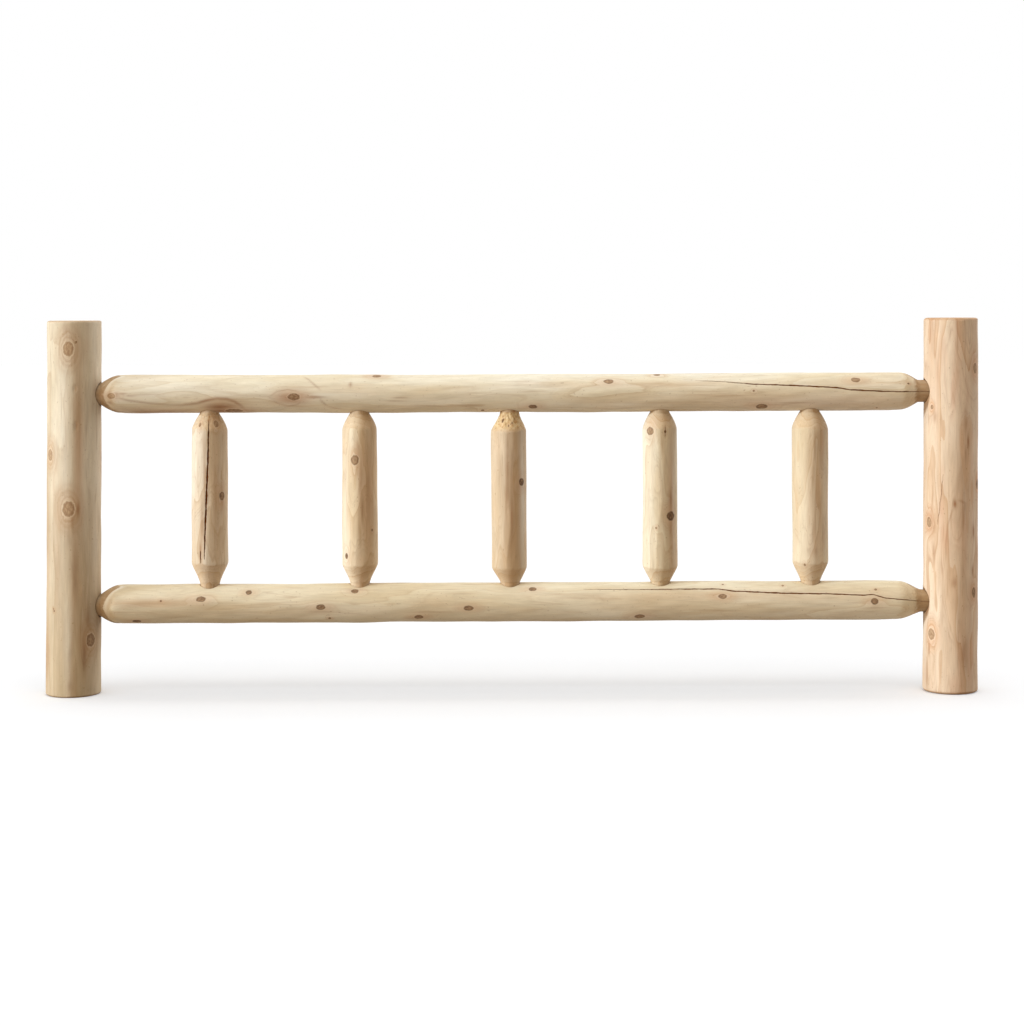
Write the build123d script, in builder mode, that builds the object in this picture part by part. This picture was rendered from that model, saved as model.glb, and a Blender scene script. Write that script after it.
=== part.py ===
"""Rustic log footboard: two posts, two rails and five spindles, peeled logs with round tenons.

Millimetres. X runs across the bed, -Y is the outer face, +Y faces the mattress, +Z is up.
The origin is on the floor, midway between the posts and in the middle of their depth.
"""
from build123d import *
import math
import os

os.makedirs("parts", exist_ok=True)

# ---------------------------------------------------------------- driving dimensions
CLEAR_WIDTH = 1524.0            # between the posts: the width of a queen mattress

POST_HEIGHT = 690.0
POST_DIAMETER = 100.0           # from mid height up
POST_BUTT_GROWTH = 1.6          # the foot is this much thicker than the middle
POST_OVAL = 0.6                 # the depth is less than the width by twice this
POST_LEAN = 4.0                 # the top stands this much further along +X than the foot
POST_LEFT_EDGE = 4.5            # radius of the eased edge round both ends
POST_RIGHT_EDGE = 6.5

TOP_RAIL_DIAMETER = 70.8
TOP_RAIL_HEIGHT = 553.8         # of its tenons' axis
TOP_RAIL_SAG = 2.0              # the log's natural bow, lowest in mid span
BOTTOM_RAIL_DIAMETER = 72.0
BOTTOM_RAIL_HEIGHT_LEFT = 163.4
BOTTOM_RAIL_HEIGHT_RIGHT = 168.6
BOTTOM_RAIL_SAG = 0.0
RAIL_OVAL = 0.4

RAIL_TENON_DIAMETER = 41.0
RAIL_TENON_DEPTH = 62.0         # how far a rail tenon reaches into its post
RAIL_LEFT_SHOULDER = 37.0       # length of the blunt shoulder beside the left post
RAIL_LEFT_NECK = 0.6            # bare tenon between the left post and that shoulder
TOP_RAIL_RIGHT_SHOULDER = 52.0
TOP_RAIL_RIGHT_NECK = 5.5       # bare tenon between that shoulder and the right post
BOTTOM_RAIL_RIGHT_SHOULDER = 64.0
BOTTOM_RAIL_RIGHT_NECK = 0.6

SPINDLE_END_SPACE = 206.0       # from a post to the centre of the spindle beside it
SPINDLE_GROUP_SHIFT = -4.4      # all five then stand a little to the left
SPINDLE_TENON_DIAMETER = 36.0
SPINDLE_TENON_DEPTH = 32.0      # below the surface of the rail
SPINDLE_NECK = 1.0              # bare tenon between a shoulder and its rail
SPINDLE_OVAL = 0.4
SPINDLE_DIAMETERS = (66.8, 64.4, 65.2, 63.4, 66.8)      # in mid length
SPINDLE_TAPERS = (1.5, 1.1, -0.7, 1.2, -0.4)            # lower end less upper end
SPINDLE_BODY_OFFSETS = (0.0, 0.0, -2.4, 0.0, 0.0)       # of the log from its tenons, along X
SPINDLE_TOP_SHOULDERS = (33.0, 35.0, 39.0, 34.0, 35.0)
SPINDLE_BOTTOM_SHOULDERS = (45.0, 39.0, 32.0, 34.0, 43.0)
OGEE_TOPS = (2,)                # spindles whose upper shoulder is an S curve, counted from 0
BLUNTNESS = 1.65                # of the blunt shoulders: 1 is a plain cone
LONG_SHOULDER_FULLNESS = 3.0    # of the rails' right shoulders: more fills them out sooner
LONG_SHOULDER_HOLLOW = 1.3      # of the same beside their tenons: 1 is no hollow

FIT = 0.15                      # radial clearance of a tenon in its mortise
GLUE_SPACE = 2.0                # left below the end of every tenon

SIDE_RAIL_MORTISE_DIAMETER = 40.0
SIDE_RAIL_MORTISE_DEPTH = 64.0
SIDE_RAIL_MORTISE_HEIGHT = 305.0

SCREW_LENGTH = 76.0
SCREW_SHANK_DIAMETER = 4.8
SCREW_HEAD_DIAMETER = 9.6
SCREW_HEAD_ANGLE = 82.0
SCREW_SET = 1.5                 # the head lies this far below the post's back
SCREW_POINT = 7.0
SCREW_RECESS_WIDTH = 3.2        # square driver recess
SCREW_RECESS_DEPTH = 2.4

BRAD_LENGTH = 45.0
BRAD_DIAMETER = 2.0
BRAD_SET = 0.8                  # the brad lies this far below the rail's back
BRAD_POINT = 3.0
FASTENER_FIT = 0.05             # radial clearance round screws and brads

# drying checks: long cracks that run in from the surface towards the pith
CHECK_DEPTH = 17.0
CHECK_FULLNESS = 0.5            # how fast a check closes towards its ends: less is later
RAIL_CHECK_WIDTH = 2.2
SPINDLE_CHECK_WIDTH = 3.6
# places from the right post's face, and heights above the rail's axis
TOP_RAIL_CHECK = (
    (-20, 0), (45, 0), (82, 1), (143, 4.5), (166, 8.4), (234, 12.4), (319, 15.7), (381, 20.9), (429, 22.9)
)
BOTTOM_RAIL_CHECK = (
    (-20, 1), (36, 4.5), (75, 8.1), (100, 15), (117, 13.5), (174, 16.2),
    (266, 17.7), (356, 22), (381, 25.3), (526, 25.2), (635, 25.7),
)
# places below the top rail, and offsets along X from the spindle's axis
CHECKED_SPINDLE = 0
SPINDLE_CHECK = ((3, 4.5), (87, 3.6), (140, 0.1), (208, -3.2), (269, -4.1))

# ---------------------------------------------------------------- derived places
post_face = CLEAR_WIDTH / 2
post_centre = post_face + POST_DIAMETER / 2
rail_tenon_radius = RAIL_TENON_DIAMETER / 2
spindle_tenon_radius = SPINDLE_TENON_DIAMETER / 2
brad_hole_radius = BRAD_DIAMETER / 2 + FASTENER_FIT
screw_hole_radius = SCREW_SHANK_DIAMETER / 2 + FASTENER_FIT
spindle_count = len(SPINDLE_DIAMETERS)
spindle_pitch = (CLEAR_WIDTH - 2 * SPINDLE_END_SPACE) / (spindle_count - 1)
first_spindle = SPINDLE_GROUP_SHIFT + SPINDLE_END_SPACE - post_face
spindle_places = [first_spindle + i * spindle_pitch for i in range(spindle_count)]
post_steps = 5
shoulder_steps = 6
rail_body_steps = 4
spindle_body_steps = 2


def post_lean(height):
    """How far the centre of a leaning post lies along X from its centre at mid height."""
    return POST_LEAN * (height / POST_HEIGHT - 0.5)


def post_radius(height):
    """Half width of a post: even over most of its height, thicker towards the foot."""
    return POST_DIAMETER / 2 + POST_BUTT_GROWTH / 2 * (1 - height / POST_HEIGHT) ** 3


def rail_plane(height_left, height_right):
    """Plane across a rail at mid span: its normal runs along the rail, its y axis points up."""
    rise = (height_right - height_left) / (2 * post_centre)
    return Plane(origin=(0, 0, (height_left + height_right) / 2), x_dir=(0, 1, 0), z_dir=(1, 0, rise))


def axis_height(plane, x):
    """Height at x of the axis of the rail that lies on this plane."""
    return plane.origin.Z + x * plane.z_dir.Z / plane.z_dir.X


def bow(x, sag):
    """How far a rail's bowed log lies above its tenons' axis at x."""
    return -sag * max(0.0, 1 - (x / post_face) ** 2)


top_rail = rail_plane(TOP_RAIL_HEIGHT, TOP_RAIL_HEIGHT)
bottom_rail = rail_plane(BOTTOM_RAIL_HEIGHT_LEFT, BOTTOM_RAIL_HEIGHT_RIGHT)


def under_top_rail(x):
    """Height of the top rail's underside at x."""
    return axis_height(top_rail, x) + bow(x, TOP_RAIL_SAG) - TOP_RAIL_DIAMETER / 2


def over_bottom_rail(x):
    """Height of the bottom rail's crown at x."""
    return axis_height(bottom_rail, x) + bow(x, BOTTOM_RAIL_SAG) + BOTTOM_RAIL_DIAMETER / 2


# ---------------------------------------------------------------- shapes that repeat
def blunt_shoulder(t):
    """Share of the log's growth at t, from tenon (0) to body (1), on a full, rounded cone."""
    return 1 - (1 - t) ** BLUNTNESS


def long_shoulder(t):
    """Share of the log's growth at t, from tenon (0) to body (1), hollow at first and then full."""
    return 1 - (1 - t**LONG_SHOULDER_HOLLOW) ** LONG_SHOULDER_FULLNESS


def ogee_shoulder(t):
    """Share of the log's growth at t, from tenon (0) to body (1), on an S curve."""
    return (1 - math.cos(math.pi * t)) / 2


def shoulder(start, end, curve):
    """(place, growth) stations from a tenon at start to the log's body at end."""
    steps = [i / shoulder_steps for i in range(shoulder_steps + 1)]
    return [(start + (end - start) * t, curve(t)) for t in steps]


def body_stations(start, end, count):
    """(place, growth) stations along a log's full body."""
    return [(start + (end - start) * i / count, 1.0) for i in range(count + 1)]


def drying_check(path, width):
    """Corners of a crack's outline: a sliver along path, pointed at both ends."""
    last = len(path) - 1
    half = [width / 2 * math.sin(math.pi * i / last) ** CHECK_FULLNESS for i in range(1, last)]
    middle = path[1:last]
    upper = [(x, y + h) for (x, y), h in zip(middle, half)]
    lower = [(x, y - h) for (x, y), h in zip(middle, half)]
    return [path[0], *upper, path[last], *lower[::-1]]


def screw_places(side):
    """Where the heads of a post's two tenon screws lie: in its back, on the rails' axes."""
    x = side * post_centre
    heights = [axis_height(rail, x) for rail in (top_rail, bottom_rail)]
    return [(x, post_radius(height) - POST_OVAL - SCREW_SET, height) for height in heights]


def brad_places(rail, diameter, sag, up):
    """Where the heads of a rail's brads lie: in its back, at mid depth of the spindle tenons."""
    inward = diameter / 2 - SPINDLE_TENON_DEPTH / 2
    places = []
    for x in spindle_places:
        y = math.sqrt((diameter / 2) ** 2 - inward**2) - BRAD_SET
        places.append((x, y, axis_height(rail, x) + bow(x, sag) + up * inward))
    return places


top_brads = brad_places(top_rail, TOP_RAIL_DIAMETER, TOP_RAIL_SAG, -1)
bottom_brads = brad_places(bottom_rail, BOTTOM_RAIL_DIAMETER, BOTTOM_RAIL_SAG, 1)


def facing_back(place):
    """Plane at place with its normal towards the mattress."""
    return Plane(origin=place, x_dir=(-1, 0, 0), z_dir=(0, 1, 0))


# ---------------------------------------------------------------- posts
def make_post(label, side, edge):
    """One post, with its rail mortises, side rail mortise and screw holes. side is -1 or +1."""
    with BuildPart() as post:
        for step in range(post_steps + 1):
            height = POST_HEIGHT * step / post_steps
            with BuildSketch(Plane.XY.offset(height)):
                with Locations((side * post_centre + post_lean(height), 0)):
                    Ellipse(post_radius(height), post_radius(height) - POST_OVAL)
        loft()
        ends = post.edges().group_by(Axis.Z)
        fillet(ends[0] + ends[-1], radius=edge)

        # round mortises for the two rail tenons, bored from the inner side
        bore_end = post_face + RAIL_TENON_DEPTH + GLUE_SPACE
        for rail in (top_rail, bottom_rail):
            with BuildSketch(rail.offset(side * bore_end)):
                Circle(rail_tenon_radius + FIT)
            extrude(amount=-side * (bore_end - post_face + POST_DIAMETER / 2), mode=Mode.SUBTRACT)

        # round mortise for the side rail of the bed, bored from the mattress side
        mouth_x = side * post_centre + post_lean(SIDE_RAIL_MORTISE_HEIGHT)
        mouth_y = post_radius(SIDE_RAIL_MORTISE_HEIGHT) - POST_OVAL
        mouth = facing_back((mouth_x, mouth_y, SIDE_RAIL_MORTISE_HEIGHT))
        with BuildSketch(mouth.offset(-SIDE_RAIL_MORTISE_DEPTH)):
            Circle(SIDE_RAIL_MORTISE_DIAMETER / 2)
        extrude(amount=SIDE_RAIL_MORTISE_DEPTH + POST_DIAMETER / 2, mode=Mode.SUBTRACT)

        # countersunk holes for the screws that lock the rail tenons
        with Locations(*[facing_back(place) for place in screw_places(side)]):
            CounterSinkHole(
                radius=screw_hole_radius,
                counter_sink_radius=SCREW_HEAD_DIAMETER / 2 + FASTENER_FIT,
                depth=SCREW_LENGTH + FASTENER_FIT,
                counter_sink_angle=SCREW_HEAD_ANGLE,
            )
    post.part.label = label
    export_step(post.part, f"parts/{label}.step")


make_post("post_left", -1, POST_LEFT_EDGE)
make_post("post_right", 1, POST_RIGHT_EDGE)


# ---------------------------------------------------------------- rails
def make_rail(label, rail, diameter, sag, right_shoulder, right_neck, spindle_side, brads, check_path):
    """One rail with its tenons, five mortises, fastener holes and a long drying check.

    rail is the plane across it, and spindle_side is +1 if the spindles stand on it, -1 if under it.
    """
    radius = diameter / 2
    left_face = post_lean(rail.origin.Z) - post_centre + post_radius(rail.origin.Z)
    right_face = post_lean(rail.origin.Z) + post_centre - post_radius(rail.origin.Z)
    left_tenon = left_face + RAIL_LEFT_NECK
    right_tenon = right_face - right_neck
    left_body = left_tenon + RAIL_LEFT_SHOULDER
    right_body = right_tenon - right_shoulder
    left_stations = shoulder(left_tenon, left_body, blunt_shoulder)
    middle_stations = body_stations(left_body, right_body, rail_body_steps)
    right_stations = shoulder(right_tenon, right_body, long_shoulder)
    left_end = -post_face - RAIL_TENON_DEPTH
    right_end = post_face + RAIL_TENON_DEPTH

    with BuildPart() as log:
        for stations in (left_stations, middle_stations, right_stations):
            for place, growth in stations:
                section_radius = rail_tenon_radius + (radius - rail_tenon_radius) * growth
                oval = RAIL_OVAL * growth
                with BuildSketch(rail.offset(place)):
                    with Locations((0, bow(place, sag) * growth)):
                        Ellipse(section_radius - oval, section_radius + oval)
            loft()

        # tenons into the posts
        for start, end in ((left_tenon, left_end), (right_tenon, right_end)):
            with BuildSketch(rail.offset(start)):
                Circle(rail_tenon_radius)
            extrude(amount=end - start)

        # mortises for the spindles
        for x in spindle_places:
            surface = axis_height(rail, x) + bow(x, sag) + spindle_side * radius
            bottom = surface - spindle_side * (SPINDLE_TENON_DEPTH + GLUE_SPACE)
            with BuildSketch(Plane.XY.offset(bottom)):
                with Locations((x, 0)):
                    Circle(spindle_tenon_radius + FIT)
            extrude(amount=spindle_side * radius * 2, mode=Mode.SUBTRACT)

        # holes for the brads, from their heads inwards, and right through for the tenon screws
        with Locations(*[facing_back(place) for place in brads]):
            Cylinder(brad_hole_radius, 2 * BRAD_LENGTH, mode=Mode.SUBTRACT)
        for side in (-1, 1):
            x = side * post_centre
            with Locations(facing_back((x, 0, axis_height(rail, x)))):
                Cylinder(screw_hole_radius, 2 * RAIL_TENON_DIAMETER, mode=Mode.SUBTRACT)

        # the drying check, open to the outer face of the bed
        front = Plane(origin=rail.origin, x_dir=rail.z_dir, z_dir=(0, -1, 0))
        path = [(right_face - place, height) for place, height in check_path]
        with BuildSketch(front.offset(diameter)):
            with BuildLine():
                Polyline(*drying_check(path, RAIL_CHECK_WIDTH), close=True)
            make_face()
        extrude(amount=-(radius + CHECK_DEPTH), mode=Mode.SUBTRACT)
    log.part.label = label
    export_step(log.part, f"parts/{label}.step")


make_rail(
    "rail_top", top_rail, TOP_RAIL_DIAMETER, TOP_RAIL_SAG, TOP_RAIL_RIGHT_SHOULDER,
    TOP_RAIL_RIGHT_NECK, -1, top_brads, TOP_RAIL_CHECK,
)
make_rail(
    "rail_bottom", bottom_rail, BOTTOM_RAIL_DIAMETER, BOTTOM_RAIL_SAG, BOTTOM_RAIL_RIGHT_SHOULDER,
    BOTTOM_RAIL_RIGHT_NECK, 1, bottom_brads, BOTTOM_RAIL_CHECK,
)


# ---------------------------------------------------------------- spindles
def make_spindle(index):
    """One spindle, from tenon end to tenon end, counted from the left."""
    x = spindle_places[index]
    radius = SPINDLE_DIAMETERS[index] / 2
    offset = SPINDLE_BODY_OFFSETS[index]
    low_tenon = over_bottom_rail(x) + SPINDLE_NECK
    high_tenon = under_top_rail(x) - SPINDLE_NECK
    low_body = low_tenon + SPINDLE_BOTTOM_SHOULDERS[index]
    high_body = high_tenon - SPINDLE_TOP_SHOULDERS[index]
    top_curve = ogee_shoulder if index in OGEE_TOPS else blunt_shoulder
    low_stations = shoulder(low_tenon, low_body, ogee_shoulder)
    middle_stations = body_stations(low_body, high_body, spindle_body_steps)
    high_stations = shoulder(high_tenon, high_body, top_curve)

    with BuildPart() as spindle:
        for stations in (low_stations, middle_stations, high_stations):
            for height, growth in stations:
                taper = SPINDLE_TAPERS[index] * (0.5 - (height - low_body) / (high_body - low_body))
                grown = (radius + taper / 2 - spindle_tenon_radius) * growth
                oval = SPINDLE_OVAL * growth
                with BuildSketch(Plane.XY.offset(height)):
                    with Locations((x + offset * growth, 0)):
                        Ellipse(spindle_tenon_radius + grown + oval, spindle_tenon_radius + grown - oval)
            loft()

        # tenons into the rails
        low_end = over_bottom_rail(x) - SPINDLE_TENON_DEPTH
        high_end = under_top_rail(x) + SPINDLE_TENON_DEPTH
        for start, end in ((low_tenon, low_end), (high_tenon, high_end)):
            with BuildSketch(Plane.XY.offset(start)):
                with Locations((x, 0)):
                    Circle(spindle_tenon_radius)
            extrude(amount=end - start)

        # holes for the two brads
        with Locations(facing_back(top_brads[index]), facing_back(bottom_brads[index])):
            Cylinder(brad_hole_radius, 2 * BRAD_LENGTH, mode=Mode.SUBTRACT)

        # the drying check of one spindle, open to the outer face of the bed
        if index == CHECKED_SPINDLE:
            front = Plane(origin=(x, 0, under_top_rail(x)), x_dir=(0, 0, -1), z_dir=(0, -1, 0))
            path = [(place, -sideways) for place, sideways in SPINDLE_CHECK]
            with BuildSketch(front.offset(2 * radius)):
                with BuildLine():
                    Polyline(*drying_check(path, SPINDLE_CHECK_WIDTH), close=True)
                make_face()
            extrude(amount=-(radius + CHECK_DEPTH), mode=Mode.SUBTRACT)
    label = f"spindle_{index + 1}"
    spindle.part.label = label
    export_step(spindle.part, f"parts/{label}.step")


for spindle_index in range(spindle_count):
    make_spindle(spindle_index)


# ---------------------------------------------------------------- fasteners
def make_screws(label, side):
    """The two flat head screws that lock the rail tenons in one post."""
    shank = SCREW_SHANK_DIAMETER / 2
    head = SCREW_HEAD_DIAMETER / 2
    head_height = (head - shank) / math.tan(math.radians(SCREW_HEAD_ANGLE / 2))
    with BuildPart() as screws:
        for place in screw_places(side):
            plane = facing_back(place)
            with BuildSketch(Plane(origin=place, x_dir=(1, 0, 0), z_dir=(0, 0, 1))):
                with BuildLine():
                    Polyline(
                        (0, 0), (head, 0), (shank, -head_height), (shank, SCREW_POINT - SCREW_LENGTH),
                        (0, -SCREW_LENGTH), close=True,
                    )
                make_face()
            revolve(axis=Axis(place, (0, 1, 0)))
            with BuildSketch(plane):
                Rectangle(SCREW_RECESS_WIDTH, SCREW_RECESS_WIDTH)
            extrude(amount=-SCREW_RECESS_DEPTH, mode=Mode.SUBTRACT)
    screws.part.label = label
    export_step(screws.part, f"parts/{label}.step")


make_screws("tenon_screws_left", -1)
make_screws("tenon_screws_right", 1)


def make_brads(label, places):
    """The five brads that pin the spindle tenons in one rail."""
    radius = BRAD_DIAMETER / 2
    with BuildPart() as brads:
        for place in places:
            corners = ((0, 0), (radius, 0), (radius, BRAD_POINT - BRAD_LENGTH), (0, -BRAD_LENGTH))
            with BuildSketch(Plane(origin=place, x_dir=(1, 0, 0), z_dir=(0, 0, 1))):
                with BuildLine():
                    Polyline(*corners, close=True)
                make_face()
            revolve(axis=Axis(place, (0, 1, 0)))
    brads.part.label = label
    export_step(brads.part, f"parts/{label}.step")


make_brads("spindle_brads_top", top_brads)
make_brads("spindle_brads_bottom", bottom_brads)
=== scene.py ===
import math
import random

import bmesh
import bpy
import numpy as np
from mathutils import Euler, Matrix, Vector


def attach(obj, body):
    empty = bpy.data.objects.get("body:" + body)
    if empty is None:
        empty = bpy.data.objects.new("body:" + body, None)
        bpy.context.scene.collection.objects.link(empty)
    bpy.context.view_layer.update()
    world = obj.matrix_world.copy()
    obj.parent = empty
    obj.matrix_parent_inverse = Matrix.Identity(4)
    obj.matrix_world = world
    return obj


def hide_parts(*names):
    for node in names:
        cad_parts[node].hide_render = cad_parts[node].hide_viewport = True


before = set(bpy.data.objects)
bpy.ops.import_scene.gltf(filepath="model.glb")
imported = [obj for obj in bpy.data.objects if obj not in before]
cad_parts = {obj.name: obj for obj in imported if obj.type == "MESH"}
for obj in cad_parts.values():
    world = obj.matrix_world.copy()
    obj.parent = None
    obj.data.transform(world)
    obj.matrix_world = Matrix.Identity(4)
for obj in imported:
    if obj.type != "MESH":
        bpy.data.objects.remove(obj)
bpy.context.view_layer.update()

# ---------------------------------------------------------------- sizes, as the frame has them
MM = 0.001
CLEAR_WIDTH = 1.524                 # between the posts
POST_HEIGHT = 0.690
POST_RADIUS = 0.0500
POST_BUTT_GROWTH = 0.8 * MM         # the foot's radius is this much more
POST_LEAN = 4.0 * MM
POST_OVAL = 0.6 * MM                # a post is this much less deep than wide, on its radius
POST_INSET = 0.3 * MM               # its peeled surface waves about this far inside its full size,
POST_LIMIT = 0.15 * MM              # and comes no nearer to it than this
RAIL_TENON_RADIUS = 0.0205
RAIL_TENON_DEPTH = 0.062
SPINDLE_TENON_RADIUS = 0.018
SPINDLE_TENON_DEPTH = 0.032
SPINDLE_NECK = 1.0 * MM
SPINDLE_PITCH = 0.278
SPINDLE_SHIFT = -4.4 * MM           # of the middle spindle from the middle of the bed
RAIL_LEFT_NECK = 0.6 * MM
RAIL_AXES = {                       # height of the tenons' axis on the left and right, and its sag
    "rail_top": (0.5538, 0.5538, 2.0 * MM),
    "rail_bottom": (0.1634, 0.1686, 0.0),
}
SIDE_RAIL_MORTISE = dict(height=0.305, radius=0.020, depth=0.064)
GLUE_SPACE = 2.0 * MM
MOUTH_GAP = 2.2 * MM                # open ring round a rail's tenon at its mortise's mouth
SPINDLE_MOUTH_GAP = 0.6 * MOUTH_GAP
SCREW_HEAD_RADIUS = 4.85 * MM
SCREW_SHANK_RADIUS = 2.45 * MM
SCREW_LENGTH = 0.076
SCREW_SET = 1.5 * MM
BRAD_RADIUS = 1.05 * MM
BRAD_LENGTH = 0.045
SCREW_HOLE_START = 30 * MM          # from the middle of a rail's tenon to the mouth of its screw hole
BRAD_HOLE_START = 20 * MM           # from the middle of a spindle's tenon to the mouth of its brad hole
SCREW_START = 20 * MM               # a post's screw hole is cut from this far in front of its mouth,
PIN_START = 10 * MM                 # and a hole in a rail or a spindle from this far

# unevenness of the peeled surfaces, and how deep their drawknife flats are
POST_RIPPLES = 0.7 * MM
POST_FLATS = 0.9 * MM
RAIL_RIPPLES = 0.55 * MM
RAIL_FLATS = 0.6 * MM
SPINDLE_RIPPLES = 0.45 * MM
SPINDLE_FLATS = 1.0 * MM

# mesh: edge loops across a flat end, steps round a log, and the spacing of a post's rings
CAP_RINGS = 7
POST_STEPS = 176
RAIL_STEPS = 144
SPINDLE_STEPS = 120
POST_END_BAND = 8 * MM              # the rings are close together within this of an end
POST_END_RINGS = 0.45 * MM
POST_BODY_RINGS = 1.9 * MM

post_face = CLEAR_WIDTH / 2
post_centre = post_face + POST_RADIUS
spindle_places = [SPINDLE_SHIFT + (i - 2) * SPINDLE_PITCH for i in range(5)]


# ---------------------------------------------------------------- small helpers
def smooth_step(low, high, value):
    """0 below low, 1 above high, and a smooth rise between them."""
    t = np.clip((value - low) / (high - low), 0.0, 1.0)
    return t * t * (3 - 2 * t)


def soft_min(a, b, softness):
    """The lesser of a and b, rounded off where they cross."""
    return -softness * np.logaddexp(-a / softness, -b / softness)


def turn_between(angle, centre):
    """The angle from centre to angle, the short way round."""
    return (angle - centre + math.pi) % (2 * math.pi) - math.pi


def blunt(t):
    """Share of a log's growth on a full, rounded shoulder, from the tenon (0) to the body (1)."""
    return 1 - (1 - np.clip(t, 0, 1)) ** 1.65


def cone(t):
    """Share of a log's growth on a coned shoulder with a small hollow beside its tenon."""
    t = np.clip(t, 0, 1)
    return 0.55 * t + 0.45 * (1 - np.cos(np.pi * t)) / 2


def long_shoulder(t, hollow, fullness):
    """Share of a log's growth on a shoulder that swells slowly to the body, hollow beside its tenon."""
    return 1 - (1 - np.clip(t, 0, 1) ** hollow) ** fullness


class Ripples:
    """The shape a drawknife leaves on a log: seeded shallow waves, and long flats with soft ridges."""

    def __init__(self, seed, height, longest=0.6, flats=9, flat_depth=0.0):
        draw = random.Random(seed)
        self.waves = []
        for lobes in (1, 2, 2, 3, 3, 4, 5, 6, 7, 9, 10, 12, 14, 17):
            length = longest * draw.uniform(0.35, 1.0) / lobes**0.5
            self.waves.append((
                lobes, 2 * math.pi / length * draw.choice((-1, 1)),
                draw.uniform(0, 2 * math.pi), height * 0.5 / lobes**0.62,
            ))
        self.flat_depth = flat_depth
        self.flats = []
        for i in range(flats):
            self.flats.append((
                2 * math.pi / flats * (i + draw.uniform(-0.28, 0.28)), draw.uniform(0.4, 1.0),
                2 * math.pi / (longest * draw.uniform(0.3, 0.9)), draw.uniform(0, 2 * math.pi),
            ))

    def at(self, along, angle):
        total = np.zeros_like(along)
        for lobes, pace, phase, height in self.waves:
            total += height * np.cos(lobes * angle + pace * along + phase)
        if self.flat_depth:
            ridges = [
                start + 0.16 * np.sin(pace * along + phase) + 0.04 * np.sin(2.7 * pace * along + 2 * phase)
                for start, _, pace, phase in self.flats
            ]
            for i, (_, share, pace, phase) in enumerate(self.flats):
                low = ridges[i]
                width = (ridges[(i + 1) % len(ridges)] - low) % (2 * math.pi)
                place = ((angle - low) % (2 * math.pi)) / width
                depth = self.flat_depth * share * (0.62 + 0.38 * np.sin(0.8 * pace * along + 1.7 * phase))
                total -= np.where(place < 1, depth * 4 * place * (1 - place), 0)
        return total


class Check:
    """A drying check: places are (along the log, sideways from its axis), open to the outer face."""

    def __init__(self, places, width, depth, log_radius, wobble, thin_end=0.0):
        self.along = np.array([p[0] for p in places])
        self.angles = np.arcsin(np.array([p[1] for p in places]) / log_radius)
        self.width = width
        self.depth = depth
        self.log_radius = log_radius
        self.wobble = wobble
        self.thin_end = thin_end

    def angle_at(self, along):
        wobble = self.wobble * (np.sin(along * 210) + 0.7 * np.sin(along * 530 + 1))
        return np.interp(along, self.along, self.angles) + wobble / self.log_radius

    def reach(self, along, angle):
        """(distance from the check's line, half of its width) on the surface."""
        share = (along - self.along[0]) / (self.along[-1] - self.along[0])
        open_part = np.sqrt(np.clip(np.sin(np.pi * np.clip(share, 0, 1)), 0, 1))
        open_part = open_part * (1 - self.thin_end * (1 - smooth_step(0.05, 0.35, share)))
        ragged = 1 + 0.16 * np.sin(along * 160) + 0.12 * np.sin(along * 390 + 2)
        ragged += 0.08 * np.sin(along * 910)
        away = np.abs(turn_between(angle, self.angle_at(along))) * self.log_radius
        return away, self.width / 2 * open_part * ragged


def crack(path, width, depth, log_radius, wobble):
    """A check from its path of (place, millimetres sideways) and its sizes in millimetres."""
    places = [(along, side * MM) for along, side in path]
    return Check(places, width * MM, depth * MM, log_radius, wobble * MM)


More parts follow.
